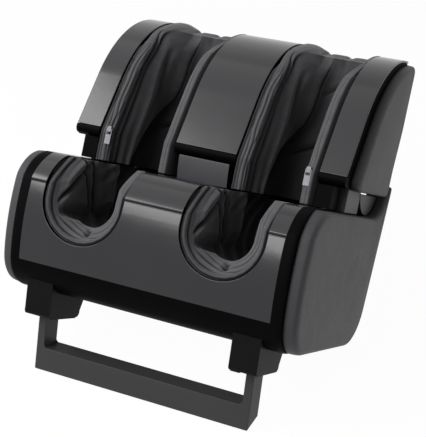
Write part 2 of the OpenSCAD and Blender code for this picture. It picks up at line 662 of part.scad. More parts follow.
// Rubber strips round the heel, which carry the tipped machine
module rocker_pads() color(rubber_black) both_sides() along_x(half_w - 91, half_w - 41) intersection() {
    difference() {
        polygon(base_outline(-rubber_t));
        polygon(base_outline(-2 * eps));
    }
    polygon([[heel_y, heel_r], for (a = [-84:6:-42]) [heel_y, heel_r] + 2 * heel_r * [cos(a), sin(a)]]);
}

module stand_pins() color(steel) both_sides()
    rod_x(foot_x0 + 2, foot_x1 - 2, pivot_y, pivot_z, stand_pin_r);

// The stand is drawn as it stands on the floor: a flat U cut level at the bottom
module on_floor() translate([0, pivot_ty + shift_y, pivot_tz]) children();
module leaning() rotate([-stand_lean, 0, 0]) children();
stand_r = stand_d / 2;
module stand_frame() color(stand_grey) on_floor() difference() {
    leaning() {
        block([-stand_w / 2, -stand_r, -pivot_tz - 30], [stand_w / 2, stand_r, 0]);
        both_sides() rod_x(stand_w / 2 - post_t, stand_w / 2, 0, 0, stand_r);
    }
    // Window of the U, with rounded lower corners
    leaning() along_y(-stand_r - 1, stand_r + 1) {
        translate([-stand_w / 2 + post_t, window_z + 5]) square([stand_w - 2 * post_t, 200]);
        translate([-stand_w / 2 + post_t + 5, window_z]) square([stand_w - 2 * post_t - 10, 20]);
        for (s = [-1, 1]) translate([s * (stand_w / 2 - post_t - 5), window_z + 5]) circle(r = 5);
    }
    block([-stand_w, -100, -pivot_tz - 100], [stand_w, 100, -pivot_tz + rubber_t]);
    both_sides() rod_x(stand_w / 2 - post_t - 1, stand_w / 2 + 1, 0, 0, stand_pin_r + pin_play);
}
window_z = (bar_h - pivot_tz) / cos(stand_lean);
bar_y0 = -pivot_tz * tan(stand_lean) - stand_r / cos(stand_lean) + 1;
module stand_floor_strip() color(rubber_black) on_floor()
    block([-stand_w / 2 + 2, bar_y0 + 1.5, -pivot_tz],
        [stand_w / 2 - 2, bar_y0 + stand_d / cos(stand_lean) - 3, rubber_t - pivot_tz]);
module stand_bumper() color(rubber_black) on_floor() leaning()
    block([-stand_w / 2 + 16, stand_r, window_z - 6], [stand_w / 2 - 16, stand_r + 0.8, window_z - 0.5]);

// ---- Calf unit ----

nose_top = arm_z + 3;
module calf_shell() color(satin_black) difference() {
    union() {
        difference() {
            calf_solid(wall, -arm_x1, arm_x1);
            shell_hollows();
        }
        // Noses flush with the covers above them
        for (x = [[-centre_w / 2, centre_w / 2], [arm_x0, arm_x1 + 2], [-arm_x1 - 2, -arm_x0]])
            intersection() {
                calf_solid(0.3, x[0], x[1]);
                block([x[0], -100, calf_z + wall], [x[1], nose_c[0] + 8, nose_top]);
            }
        both_sides() rod_x(arm_x0, arm_x0 + 16, hinge_y, hinge_z, 2 * hinge_pin_r);
    }
    // Leg troughs, open to the front and the top
    both_sides() along_x(centre_w / 2, arm_x0) polygon([[-200, calf_z - 50], [trough_back, calf_z - 50],
        [trough_back, calf_top - 60], [trough_back + 5, calf_top - 16], [300, calf_top - 16],
        [300, calf_top + 50], [-200, calf_top + 50]]);
    // Bores of the hinge pins, and slots for their brackets
    both_sides() rod_x(bracket_x - 3, arm_x0 + 20, hinge_y, hinge_z, hinge_pin_r);
    both_sides() rod_x(bracket_x - 0.5, arm_x0 + eps, hinge_y, hinge_z, drum_r - wall);
}
// Hollows of the centre, the arms and the back
module shell_hollows() {
    for (x = [[-centre_w / 2, centre_w / 2], [arm_x0, arm_x1], [-arm_x1, -arm_x0]])
        intersection() {
            calf_solid(2 * wall, x[0] + wall, x[1] - wall);
            block([-300, -300, 0], [300, trough_back, 600]);
        }
    intersection() {
        calf_solid(2 * wall, -arm_x1 + wall, arm_x1 - wall);
        block([-300, trough_back + 2 * wall + 2, 0], [300, 300, calf_top - 16 - wall]);
    }
}

// Bosses that hold the hinge pins are part of the drum below the shell
module neck_drum() color(neck_grey) difference() {
    union() {
        intersection() {
            rod_x(-arm_x1 + 3, arm_x1 - 3, hinge_y, hinge_z, drum_r);
            block([-300, -300, 0], [300, 300, calf_z]);
        }
        both_sides() block([arm_x0 + 5, flange_end + seat, base_h + seat],
            [arm_x1 - 4, hinge_y - 40, calf_z + wall]);
    }
    difference() {
        union() {
            rod_x(-arm_x1 + 3 + wall, arm_x1 - 3 - wall, hinge_y, hinge_z, drum_r - wall);
            both_sides() block([arm_x0 + 5 + wall, flange_end + seat + wall, base_h + seat + wall],
                [arm_x1 - 4 - wall, hinge_y - 30, calf_z + wall + 1]);
        }
        for (s = [-1, 1]) for (x = [arm_x0, centre_w / 2 - wall])
            block([s * x - wall, 0, 0], [s * x + wall, 300, 400]);
    }
    both_sides() block([centre_w / 2, -300, 0], [arm_x0, trough_back, 400]);
    both_sides() rod_x(bracket_x - 0.5, arm_x0 + eps, hinge_y, hinge_z, drum_r + 1);
}

// Curved plates that slide into the base as the unit tilts, each with a flange under the shell
flange_end = 12;
module neck_arc(x0, x1, a0, a1) {
    intersection() {
        difference() {
            rod_x(x0, x1, hinge_y, hinge_z, neck_r);
            rod_x(x0 - 1, x1 + 1, hinge_y, hinge_z, neck_r - wall);
        }
        block([x0, -400, -100], [x1, 400, calf_z + wall]);
        along_x(x0, x1) polygon([[hinge_y, hinge_z], for (a = [a0:(a1 - a0) / 6:a1])
            [hinge_y, hinge_z] + 1.2 * neck_r * [cos(a), sin(a)]]);
    }
    block([x0, hinge_y - neck_r + 2, calf_z], [x1, flange_end, calf_z + wall]);
}
// Sleeve round the upper part of a link, clear of the base
module neck_sleeve(x0, x1) block([x0, hinge_y - neck_r + 1, base_h + 1.2], [x1, 4, calf_z + wall]);
neck_top_a = 180 + asin((hinge_z - calf_z - wall) / neck_r);
neck_low_a = 180 + asin((hinge_z - base_h) / neck_r) + tilt_back + 3;
module neck_plate() color(neck_grey) neck_arc(-centre_w / 2 + 8, centre_w / 2 - 8, neck_top_a, neck_low_a);
module neck_links() color(satin_black) both_sides() {
    neck_arc(bracket_x + bracket_t + 0.6, half_w - wall - 4.5, neck_top_a, neck_low_a);
    neck_sleeve(bracket_x + bracket_t + 0.6, half_w + 6);
}

// Glossy covers: strips of the front profile that end above the rounded noses
module profile_strip(x0, x1) difference() {
    intersection() {
        calf_solid(0, x0, x1);
        block([-300, -300, nose_top + 0.4], [300, calf_back + calf_flare - calf_corner, 600]);
    }
    calf_solid(wall, x0 - 1, x1 + 1);
}
module arm_cover() color(gloss_black) profile_strip(arm_x0 - 0.3, arm_x1 + 2);
module arm_cover_right() arm_cover();
module arm_cover_left() mirror([1, 0, 0]) arm_cover();
module centre_cover() color(gloss_black) profile_strip(-centre_w / 2, centre_w / 2);

// Upholstered panel on the outside of the calf unit
module leaf_pad() color(leather_grey) loft(concat(
    [[for (p = calf_outline(2, leaf_reveal)) [arm_x1, p[0], p[1]]]],
    [for (k = [1:5]) let (c = crown_steps[k])
        [for (p = calf_outline(2 + c[0] * 0.5, leaf_reveal + c[0] * 0.5))
            [arm_x1 + (pad_x - arm_x1) * c[1], p[0], p[1]]]]));
module leaf_pad_right() leaf_pad();
module leaf_pad_left() mirror([1, 0, 0]) leaf_pad();

// Padded lining of a calf trough: at each height a U in plan, deep at the foot end and
// shallow at the top. Its lower end hangs down to meet the foot well's lining
calf_gap = 6;
function plan_u(half, y0, y1, t) = let (
    r = min(half - 1, max(4, (y1 - y0) * 0.8)), bend = PI * r / 2, run = y1 - y0 - r,
    flat = 2 * (half - r), len = 2 * run + 2 * bend + flat, q = (t < 0.5 ? t : 1 - t) * len,
    p = q < run ? [-half, y0 + q]
        : q < run + bend ? let (a = (q - run) / r * 180 / PI) [-half + r - r * cos(a), y1 - r + r * sin(a)]
        : [-half + r + (q - run - bend), y1])
    t < 0.5 ? p : [-p[0], p[1]];
function calf_face(t, v) = lining_t + (calf_roll - lining_t) * pow(abs(2 * t - 1), 5)
    + fold_d * 1.5 * pow(sin(180 * t), 2) * (0.5 + 0.5 * sin(1080 * t + 160 * v)) * (0.3 + 0.7 * v);
// The front of a lining runs up the covers' profile and over the top, and its back up the
// rear wall of the trough and over that wall's top edge
crest_z = calf_top - 45;
rim_r = arm_r - wall;
crest_a = 180 - asin((crest_z - arm_c[1]) / rim_r);
crest_end = acos((calf_back + calf_flare - calf_corner - 2 - arm_c[0]) / rim_r);
function lining_front(v) = v <= 0.65
    ? let (z = base_h + 1.5 + (crest_z - base_h - 1.5) * v / 0.65) [front_line(max(z, arm_z)) + wall, z]
    : let (a = crest_a + (crest_end - crest_a) * (v - 0.65) / 0.35) arm_c + rim_r * [cos(a), sin(a)];
function lining_rear(v) = let (z = v <= 0.65
    ? base_h + 1.5 + (crest_z - base_h - 1.5) * v / 0.65
    : crest_z + (calf_top - 16 + seat - crest_z) * min(1, (v - 0.65) / 0.149))
    [trough_back - seat + max(0, z - calf_top + 60) * 0.11 + max(0, v - 0.81) / 0.19 * 22, z];
module calf_liner(n = 34, m = 15) color(fabric_black) {
    half = trough_half;
    grid = function (face) [for (j = [0:m]) let (v = j / m, p = lining_front(v), q = lining_rear(v),
        deep = norm(q - p), u = (q - p) / deep)
        [for (i = [0:n]) let (t = i / n, g = calf_gap * min(1, 10 * (0.5 - abs(t - 0.5))) * (1 - v * v),
            e = g + face * min(calf_face(t, v), 3 + 0.4 * deep),
            w = plan_u(half - seat - e, face * 2 * (1 - abs(2 * t - 1)), deep - e, t), k = p + w[1] * u)
            [trough_x + w[0], k[0], k[1]]]];
    quilt(grid(1), grid(0));
}
module calf_liner_right() calf_liner();
module calf_liner_left() mirror([1, 0, 0]) calf_liner();

module calf_airbags(t = 3.4) color(neck_grey) both_sides() for (s = [-1, 1])
    block([trough_x + s * (trough_half + 0.5 - t / 2) - t / 2, 38, calf_z + 20],
        [trough_x + s * (trough_half + 0.5 - t / 2) + t / 2, 98, calf_z + 100]);

// ---- Hinge and fasteners ----

module hinge_bracket() color(steel) difference() {
    union() {
        rod_x(bracket_x, bracket_x + bracket_t, hinge_y, hinge_z, 14);
        block([bracket_x, hinge_y - 14, 110], [bracket_x + bracket_t, hinge_y + 12, hinge_z]);
    }
    rod_x(bracket_x - 1, bracket_x + bracket_t + 1, hinge_y, hinge_z, hinge_pin_r + pin_play);
    for (z = bracket_screw_z) rod_x(bracket_x - 1, bracket_x + bracket_t + 1, hinge_y, z, 2);
}
module hinge_bracket_right() hinge_bracket();
module hinge_bracket_left() mirror([1, 0, 0]) hinge_bracket();
module hinge_pins() color(steel) both_sides() {
    rod_x(bracket_x - 0.5, arm_x0 + 16, hinge_y, hinge_z, hinge_pin_r);
}
module base_screws() color(steel) both_sides() {
    for (y = foot_screw_y) translate([foot_screw_x, y, wall]) {
        cylinder(r = 4, h = 2.5);
        translate([0, 0, -11]) cylinder(r = 2, h = 12);
    }
    for (z = bracket_screw_z) {
        rod_x(bracket_x + bracket_t, bracket_x + bracket_t + 2.5, hinge_y, z, 4);
        rod_x(bracket_x - wall, bracket_x + bracket_t + 1, hinge_y, z, 2);
    }
}
module calf_screws() color(steel) for (x = [-150, -50, 50, 150]) {
    rod_y(calf_back - wall, calf_back - wall + 2, x, hinge_z + 18, 3.5);
    rod_y(calf_back + calf_flare - wall, calf_back + calf_flare - wall + 2, x, hinge_z + 140, 3.5);
}

// ---- Zips of the removable linings ----

zip_x = trough_x + trough_half - 15;
zip_z = arm_z + 3;
zip_y = front_line(zip_z) + wall;
module zip_sliders() color(steel) both_sides() difference() {
    block([zip_x - 3, zip_y - 4.2, zip_z - 4], [zip_x + 3, zip_y - seat, zip_z + 4]);
    rod_x(zip_x - 4, zip_x + 4, zip_y - 2.8, zip_z, 0.8);
}
// Its bow hangs down against the lining
module zip_pull() color(steel) translate([zip_x, zip_y - 2.8, zip_z]) {
    rod_x(-3.9, 3.9, 0, 0, 0.75);
    block([-4.4, -0.7, -20], [-3.4, 0.7, 0.7]);
    block([3.4, -0.7, -20], [4.4, 0.7, 0.7]);
    block([-4.4, -0.7, -22], [4.4, 0.7, -8]);
}
module zip_pull_right() zip_pull();
module zip_pull_left() mirror([1, 0, 0]) zip_pull();

tipped() base_tray();
tipped() front_cover();
tipped() top_cover();
tipped() back_cover();
tipped() side_housing_left();
tipped() side_housing_right();
tipped() side_pad_left();
tipped() side_pad_right();
tipped() inner_frame();
tipped() foot_liner_left();
tipped() foot_liner_right();
tipped() foot_airbags();
tipped() bearing_blocks();
tipped() bushes();
tipped() drive_motor();
tipped() drive_belt();
tipped() air_pump();
tipped() valve_block();
tipped() air_hoses();
tipped() power_supply();
tipped() control_board();
tipped() power_inlet();
tipped() switch_frame();
tipped() front_foot_left();
tipped() front_foot_right();
tipped() foot_tips();
tipped() rocker_pads();
tipped() hinge_bracket_left();
tipped() hinge_bracket_right();
tipped() stand_pins();
tipped() base_screws();
tipped() roller_shaft_rear();
tipped() rollers_rear();
tipped() drive_gear();
tipped() pulley_rear();
tipped() roller_shaft_front();
tipped() rollers_front();
tipped() pulley_front();
tipped() motor_pinion();
tipped() mains_switch();
stand_frame();
stand_floor_strip();
stand_bumper();
tipped() calf_shell();
tipped() neck_drum();
tipped() neck_plate();
tipped() neck_links();
tipped() centre_cover();
tipped() arm_cover_left();
tipped() arm_cover_right();
tipped() calf_liner_left();
tipped() calf_liner_right();
tipped() calf_airbags();
tipped() leaf_pad_left();
tipped() leaf_pad_right();
tipped() hinge_pins();
tipped() zip_sliders();
tipped() zip_pull_left();
tipped() zip_pull_right();
tipped() calf_screws();
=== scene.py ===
"""Foot and calf massager, tipped back on its fold-out stand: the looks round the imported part."""

import json
import math

import bmesh
import bpy
import numpy as np
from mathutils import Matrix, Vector


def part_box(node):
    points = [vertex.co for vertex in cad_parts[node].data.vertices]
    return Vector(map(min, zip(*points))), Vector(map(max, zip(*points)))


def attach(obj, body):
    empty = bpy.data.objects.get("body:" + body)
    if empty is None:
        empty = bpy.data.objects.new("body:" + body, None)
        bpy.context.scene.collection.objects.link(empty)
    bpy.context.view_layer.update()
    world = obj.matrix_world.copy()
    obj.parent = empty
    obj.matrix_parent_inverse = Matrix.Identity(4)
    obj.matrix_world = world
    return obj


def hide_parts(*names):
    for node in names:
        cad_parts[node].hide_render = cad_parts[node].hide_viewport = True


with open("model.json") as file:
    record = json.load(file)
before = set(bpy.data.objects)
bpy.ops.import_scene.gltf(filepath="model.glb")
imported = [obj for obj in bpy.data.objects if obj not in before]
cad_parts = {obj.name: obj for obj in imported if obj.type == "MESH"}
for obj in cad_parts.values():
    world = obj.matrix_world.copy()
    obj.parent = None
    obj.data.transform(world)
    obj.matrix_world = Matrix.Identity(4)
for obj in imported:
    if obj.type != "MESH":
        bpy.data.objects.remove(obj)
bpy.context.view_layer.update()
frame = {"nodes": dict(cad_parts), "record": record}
scene = bpy.context.scene
scene.view_settings.view_transform = "Standard"

# ---- Where the machine stands, and the camera ----
# The hinge pins of the calf unit tell where the machine stands. The camera looks down on its
# front from its right-hand side.

pins_low, pins_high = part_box("hinge_pins")
pins_at = (pins_low + pins_high) / 2
eye = Vector((0.6611, pins_at.y - 1.4989, 1.0074))
aim = Vector((0.0363, pins_at.y - 0.1835, 0.2081))
lens = bpy.data.cameras.new("camera")
lens.sensor_width = 36
lens.lens = 98.86
camera = bpy.data.objects.new("camera", lens)
camera.location = eye
camera.rotation_euler = (aim - eye).to_track_quat("-Z", "Y").to_euler()
scene.collection.objects.link(camera)
scene.camera = camera


# ---- Studio ----
# A pale floor, a wide soft lamp in front on the left, a larger and dimmer one high on the left,
# and a dim fill from the room. Seen straight or in a gloss, floor and room are white.

FILL, WHITE, FLOOR_SHARE, FLOOR_HALF = 0.16, 1.0, 0.97, 6.0


class Signal:
    """One output socket of a node tree. Sums, differences and products of signals and numbers
    add Math nodes."""

    def __init__(self, tree, socket=None):
        self.tree, self.socket = tree, socket

    def node(self, kind, sockets, out=0, **settings):
        """Adds a node: first its settings, then its sockets' values or links."""
        made = self.tree.nodes.new("ShaderNode" + kind)
        for name, value in settings.items():
            setattr(made, name, value)
        for name, value in sockets.items():
            if isinstance(value, Signal):
                self.tree.links.new(value.socket, made.inputs[name])
            else:
                made.inputs[name].default_value = value
        return Signal(self.tree, made.outputs[out])

    def math(self, operation, first, second=0.0):
        return self.node("Math", {0: first, 1: second}, operation=operation)

    def __add__(self, other):
        return self.math("ADD", self, other)

    def __sub__(self, other):
        return self.math("SUBTRACT", self, other)

    def __rsub__(self, other):
        return self.math("SUBTRACT", other, self)

    def __mul__(self, other):
        return self.math("MULTIPLY", self, other)

    __radd__, __rmul__ = __add__, __mul__


def finish(name, color, roughness, fixed=None):
    """A new material: its constants are set on the shader's own sockets. Gives the material,
    its shader node and a signal of the piece's Object coordinates."""
    material = bpy.data.materials.new(name)
    material.use_nodes = True
    material.diffuse_color = (*color, 1)
    shader = material.node_tree.nodes["Principled BSDF"]
    shader.inputs["Base Color"].default_value = (*color, 1)
    shader.inputs["Roughness"].default_value = roughness
    for key, value in (fixed or {}).items():
        shader.inputs[key].default_value = value
    place = Signal(material.node_tree).node("TexCoord", {}, out="Object")
    return material, shader, place


def spread(signal, low, high, start, end):
    """A signal between low and high, spread out from start to end and held there."""
    sockets = {"Value": signal, "From Min": low, "From Max": high, "To Min": start, "To Max": end}
    return signal.node("MapRange", sockets)


def seen(tree):
    """1 for rays straight from the camera or by way of gloss or glass, and 0 for the others."""
    rays = tree.nodes.new("ShaderNodeLightPath").outputs
    straight = Signal(tree, rays["Is Camera Ray"])
    return straight + Signal(tree, rays["Is Glossy Ray"]) + Signal(tree, rays["Is Transmission Ray"])


world = bpy.data.worlds.new("studio")
world.use_nodes = True
scene.world = world
backdrop = world.node_tree.nodes["Background"]
backdrop.inputs["Color"].default_value = (1, 1, 1, 1)
room_level = spread(seen(world.node_tree), 0.0, 1.0, FILL, WHITE)
world.node_tree.links.new(room_level.socket, backdrop.inputs["Strength"])

corners = [(x * FLOOR_HALF, y * FLOOR_HALF, 0) for x, y in ((-1, -1), (1, -1), (1, 1), (-1, 1))]
floor_mesh = bpy.data.meshes.new("floor")
floor_mesh.from_pydata(corners, [], [(0, 1, 2, 3)])
floor = bpy.data.objects.new("floor", floor_mesh)
scene.collection.objects.link(floor)
floor_paint, floor_shader, _ = finish("floor_paint", (0.8, 0.8, 0.8), 0.9)
floor_tree = floor_paint.node_tree
glow = floor_tree.nodes.new("ShaderNodeEmission")
glow.inputs["Strength"].default_value = WHITE
shown = floor_tree.nodes.new("ShaderNodeMixShader")
share = spread(seen(floor_tree), 0.0, 1.0, 0.0, FLOOR_SHARE)
for giver, taker in (
    (share.socket, shown.inputs[0]),
    (floor_shader.outputs[0], shown.inputs[1]),
    (glow.outputs[0], shown.inputs[2]),
    (shown.outputs[0], floor_tree.nodes["Material Output"].inputs[0]),
):
    floor_tree.links.new(giver, taker)
floor_mesh.materials.append(floor_paint)


def soft_lamp(name, azimuth, elevation, distance, size, radiance):
    """A rectangular lamp that faces the machine; its power is pi * area * radiance."""
    lamp = bpy.data.lights.new(name, "AREA")
    lamp.shape = "RECTANGLE"
    lamp.size, lamp.size_y = size
    lamp.energy = math.pi * size[0] * size[1] * radiance
    az, el = math.radians(azimuth), math.radians(elevation)
    middle = Vector((0, 0, 0.2))
    held = bpy.data.objects.new(name, lamp)
    towards = Vector((math.sin(az) * math.cos(el), -math.cos(az) * math.cos(el), math.sin(el)))
    held.location = middle + towards * distance
    held.rotation_euler = (-towards).to_track_quat("-Z", "Y").to_euler()
    scene.collection.objects.link(held)


soft_lamp("key_lamp", -38, 45, 2.4, (2.6, 1.45), 6.8)
soft_lamp("top_lamp", -100, 66, 2.6, (2.4, 2.4), 0.5)


# ---- Glossy covers of the base ----
# The front cover and the top cover are moulded in black plastic with a high gloss, and meet
# at a stepped seam. They clip to the side housings, and their cut edges are slightly rounded.

BODY_OF = {n: b for b, members in frame["record"]["behaviour"]["bodies"].items() for n in members}


def noise(place, scale, detail=3.0, rough=0.55, stretch=(1, 1, 1)):
    """Fractal noise between 0 and 1 on the piece, stretched along its axes."""
    if stretch != (1, 1, 1):
        place = place.node("Mapping", {"Vector": place, "Scale": stretch})
    sockets = {"Vector": place, "Scale": scale, "Detail": detail, "Roughness": rough}
    return place.node("TexNoise", sockets)


def tint(place, level, dark, light):
    """A colour between two, by a level from 0 to 1."""
    return place.node("Mix", {0: level, 6: (*dark, 1), 7: (*light, 1)}, out=2, data_type="RGBA")


def relief(place, height, depth, over=None):
    """Bump of a height signal that is depth metres deep, over an earlier normal."""
    sockets = {"Height": height, "Distance": depth, "Strength": 1.0}
    if over is not None:
        sockets["Normal"] = over
    return place.node("Bump", sockets)


def wire(shader, name, signal):
    """Links a signal to one of the shader's sockets."""
    signal.tree.links.new(signal.socket, shader.inputs[name])


def rounded_copy(node, material, width=0.8, segments=3):
    """A welded copy of a CAD node: doubles merged, triangles that lie folded back on a flat
    face joined with it, flat faces joined, and its sharp edges rounded by a bevel of the given
    width in mm."""
    doubles, rounds = 4e-6, 4
    flat, sharp, folded = math.radians(0.5), math.radians(34), math.radians(178)
    mesh = bpy.data.meshes.new(node + "_moulded")
    work = bmesh.new()
    work.from_mesh(frame["nodes"][node].data)
    bmesh.ops.remove_doubles(work, verts=work.verts, dist=doubles)
    for _ in range(rounds):
        work.normal_update()
        turned = [edge for edge in work.edges if edge.calc_face_angle(0) > folded]
        bmesh.ops.dissolve_edges(work, edges=turned)
    bmesh.ops.dissolve_limit(
        work, angle_limit=flat, verts=work.verts, edges=work.edges, use_dissolve_boundaries=False
    )
    for face in work.faces:
        face.smooth = True
    work.to_mesh(mesh)
    work.free()
    copy = bpy.data.objects.new(node + "_moulded", mesh)
    scene.collection.objects.link(copy)
    bevel = copy.modifiers.new("rounded_edges", "BEVEL")
    bevel.width = width / 1000
    bevel.segments = segments
    bevel.limit_method = "ANGLE"
    bevel.angle_limit = sharp
    bevel.harden_normals = True
    even = copy.modifiers.new("even_shading", "WEIGHTED_NORMAL")
    even.weight = 80
    even.keep_sharp = True
    mesh.materials.append(material)
    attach(copy, BODY_OF[node])
    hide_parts(node)


def coated(node, material):
    """Gives a CAD node another finish."""
    mesh = frame["nodes"][node].data
    mesh.materials.clear()
    mesh.materials.append(material)


gloss_black, shader, place = finish(
    "gloss_black", (0.010, 0.010, 0.012), 0.2, {"Specular IOR Level": 0.45}
)
wire(shader, "Base Color", tint(place, noise(place, 9.0), (0.006, 0.006, 0.008), (0.011, 0.011, 0.013)))
wire(shader, "Roughness", 0.15 + noise(place, 30.0) * 0.07)
wire(shader, "Normal", relief(place, noise(place, 160.0, 2.0), 0.00003))

for node in ("front_cover", "top_cover"):
    rounded_copy(node, gloss_black, width=0.9)


# ---- Underside pan, back cover and side housings ----
# Plain black plastic with a fine spark-eroded grain. The pan and the back cover are screwed
# together, and a housing closes each end.

satin_black, shader, place = finish(
    "satin_black", (0.004, 0.004, 0.0045), 0.6, {"Specular IOR Level": 0.02}
)
clouds = noise(place, 14.0)
wire(shader, "Base Color", tint(place, clouds, (0.0010, 0.0010, 0.0012), (0.0024, 0.0024, 0.0027)))
wire(shader, "Roughness", 0.42 + noise(place, 700.0, 2.0) * 0.2)
wire(shader, "Normal", relief(place, noise(place, 1500.0, 2.0), 0.00004))

for node in ("base_tray", "back_cover", "side_housing_left", "side_housing_right"):
    rounded_copy(node, satin_black, width=0.7, segments=2)


# ---- Upholstered panels on the sides of the base ----
# A thin foam pad under grained artificial leather, wrapped round a board and clipped into the
# housing. The leather is pulled tight, so that the pad swells evenly from its rounded rim.

TILT, HINGE = math.radians(28.4), (116.0, 240.0)


def tipped(x, y, z):
    """Points of the upright machine in mm, with its origin under the middle of the base, X
    across, Y to the back and Z up, turned back by the tilt about the hinge, in metres."""
    x, y, z = np.broadcast_arrays(x, y, z)
    dy, dz = (y - HINGE[0]) / 1000, (z - HINGE[1]) / 1000
    c, s = math.cos(TILT), math.sin(TILT)
    return np.stack([x / 1000, pins_at.y + dy * c + dz * s, pins_at.z - dy * s + dz * c], -1)


def arc(centre, radius, start, stop, count):
    """Points at one radius about a centre, from angle start to angle stop in degrees."""
    a = np.radians(np.linspace(start, stop, count + 1))
    return np.stack([centre[0] + radius * np.cos(a), centre[1] + radius * np.sin(a)], -1)


def bow(p, q, height, count):
    """Points on a shallow arc from p to q that bulges to the left of the way by a height."""
    p, q = np.array(p, float), np.array(q, float)
    d = np.linalg.norm(q - p)
    r = (d * d / 4 + height * height) / 2 / height
    half = math.asin(d / 2 / r)
    u = (q - p) / d
    w = np.array([-u[1], u[0]])
    a = np.linspace(-half, half, count + 1)[:, None]
    return (p + q) / 2 - w * (r - height) + r * (np.cos(a) * w + np.sin(a) * u)


def even_outline(points, count, blur):
    """A closed outline at even steps, blurred along itself over a length in mm: its Fourier
    terms are weighed by a bell curve."""
    closed = np.vstack([points, points[:1]])
    run = np.concatenate([[0], np.cumsum(np.linalg.norm(np.diff(closed, axis=0), axis=1))])
    at = np.linspace(0, run[-1], count, endpoint=False)
    even = np.stack([np.interp(at, run, closed[:, k]) for k in (0, 1)], -1)
    steps = np.fft.fftfreq(count, run[-1] / count)[:, None]
    softened = np.fft.fft(even, axis=0) * np.exp(-2 * (math.pi * blur * steps) ** 2)
    return np.fft.ifft(softened, axis=0).real


FRONT, BACK, TOP = -166.0, 166.0, 192.0
CREASE, TOP_FRONT = 150.0, FRONT + 46
BELLY_R, BELLY_Z, TOE_R, HEEL_R = 300.0, 118.0, 57.0, 62.0
CREASE_Y = FRONT + BELLY_R - math.sqrt(BELLY_R**2 - (CREASE - BELLY_Z) ** 2)
CRADLE_R, HORN, BACK_LEAN = 48.0, (52.0, 2.0), 12.0


def panel_outline(inset, shift):
    """Side view of the base's panel: underside, rounded toe, bulging belly, a bow up to the
    top, the cradle of the drum, a horn behind it, a back that leans in to the heel, and the
    round heel, drawn in by inset and its front moved back."""
    lean = math.degrees(math.asin((BELLY_Z - TOE_R) / (BELLY_R - TOE_R)))
    toe_y = FRONT + BELLY_R - (BELLY_R - TOE_R) * math.cos(math.radians(lean))
    rise = math.degrees(math.asin((CREASE - BELLY_Z) / BELLY_R))
    bow_low = (CREASE_Y + shift + inset + 0.6, CREASE + 4)
    bow_top = (TOP_FRONT + shift + inset / 2, TOP - inset)
    horn = 0.35 * inset
    horn_z = HINGE[1] + HORN[1] - horn
    flare = math.degrees(math.atan(BACK_LEAN / (HINGE[1] - HEEL_R)))
    return np.vstack(
        [
            arc((toe_y + shift, TOE_R), TOE_R - inset, -90, -180 + lean, 24),
            arc((FRONT + BELLY_R + shift, BELLY_Z), BELLY_R - inset, -180 + lean, -180 - rise, 24),
            bow(bow_low, bow_top, 7, 16),
            arc(HINGE, CRADLE_R + inset, -90, -13, 24),
            [[HINGE[0] + HORN[0] + horn, horn_z], [BACK + BACK_LEAN - horn, horn_z]],
            arc((BACK - HEEL_R, HEEL_R), HEEL_R - inset, -flare, -90, 24),
        ]
    )


def surface(name, points, folds=None):
    """A mesh of quads over a grid of points, closed round its second direction; a row of equal
    points is a pole. Doubles are merged, and the faces then turned outwards. The attribute
    fold is painted shade: how far each point's colour is darkened in folds and hollows."""
    rows, columns = points.shape[:2]
    index = np.arange(rows * columns).reshape(rows, columns)
    after = np.roll(index, -1, axis=1)
    faces = np.stack([index[:-1], after[:-1], after[1:], index[1:]], -1).reshape(-1, 4)
    mesh = bpy.data.meshes.new(name)
    mesh.from_pydata(points.reshape(-1, 3).tolist(), [], faces.tolist())
    if folds is not None:
        mesh.attributes.new("fold", "FLOAT", "POINT").data.foreach_set("value", folds.ravel())
    work = bmesh.new()
    work.from_mesh(mesh)
    bmesh.ops.remove_doubles(work, verts=work.verts, dist=1e-6)
    bmesh.ops.recalc_face_normals(work, faces=work.faces)
    for face in work.faces:
        face.smooth = True
    work.to_mesh(mesh)
    work.free()
    piece = bpy.data.objects.new(name, mesh)
    scene.collection.objects.link(piece)
    return piece


def panel_points(outline, middle, x0, swell, rim, count=520):
    """A closed pad over a side view: flat behind, with an edge that stands up and turns over
    the rim as a superellipse, and then domes gently up to the middle."""
    behind, dome, blur = x0 + 0.3, 0.9, 3.0
    rows = []
    for share in (0.0, 0.6, 0.95):
        rows.append((middle + (even_outline(outline(1.0), count, blur) - middle) * share, behind))
    for u in np.linspace(0, 1, 26):
        inset = 1 + 0.65 * rim * u**1.7
        height = swell * (0.25 * min(1.0, 4 * u) + 0.75 * (1 - (1 - u) ** 2.2) ** (1 / 1.6))
        rows.append((even_outline(outline(inset), count, blur), behind + height))
    ring, top = rows[-1]
    for w in np.linspace(0, 1, 26)[1:]:
        rows.append((middle + (ring - middle) * (1 - w), top + dome * (1 - (1 - w) ** 2)))
    yz = np.stack([r[0] for r in rows])
    x = np.array([r[1] for r in rows])[:, None] + 0 * yz[..., 0]
    return x, yz[..., 0], yz[..., 1]


leather, shader, place = finish("upholstery", (0.03, 0.03, 0.034), 0.5, {"Specular IOR Level": 0.3})
sockets = {"Vector": place, "Scale": 900.0, "Randomness": 1.0}
grain = spread(place.node("TexVoronoi", sockets, feature="DISTANCE_TO_EDGE"), 0.0, 0.25, 0.0, 1.0)
mottle = noise(place, 26.0, 4.0)
shade = mottle * 0.5 + grain * 0.5
wire(shader, "Base Color", tint(place, shade, (0.022, 0.022, 0.025), (0.038, 0.038, 0.043)))
wire(shader, "Roughness", 0.40 + mottle * 0.14 + (1 - grain) * 0.10)
dimples = relief(place, noise(place, 45.0, 3.0), 0.0006)
wire(shader, "Normal", relief(place, grain, 0.00012, dimples))

PAD_FOOT, PAD_SWELL, PAD_RIM = 202.0, 18.0, 14.0


def base_panel(inset):
    """The panel's outline, 5 mm behind the front of the base, and further back as it is drawn
    in."""
    return panel_outline(inset, 5 + 0.7 * inset)


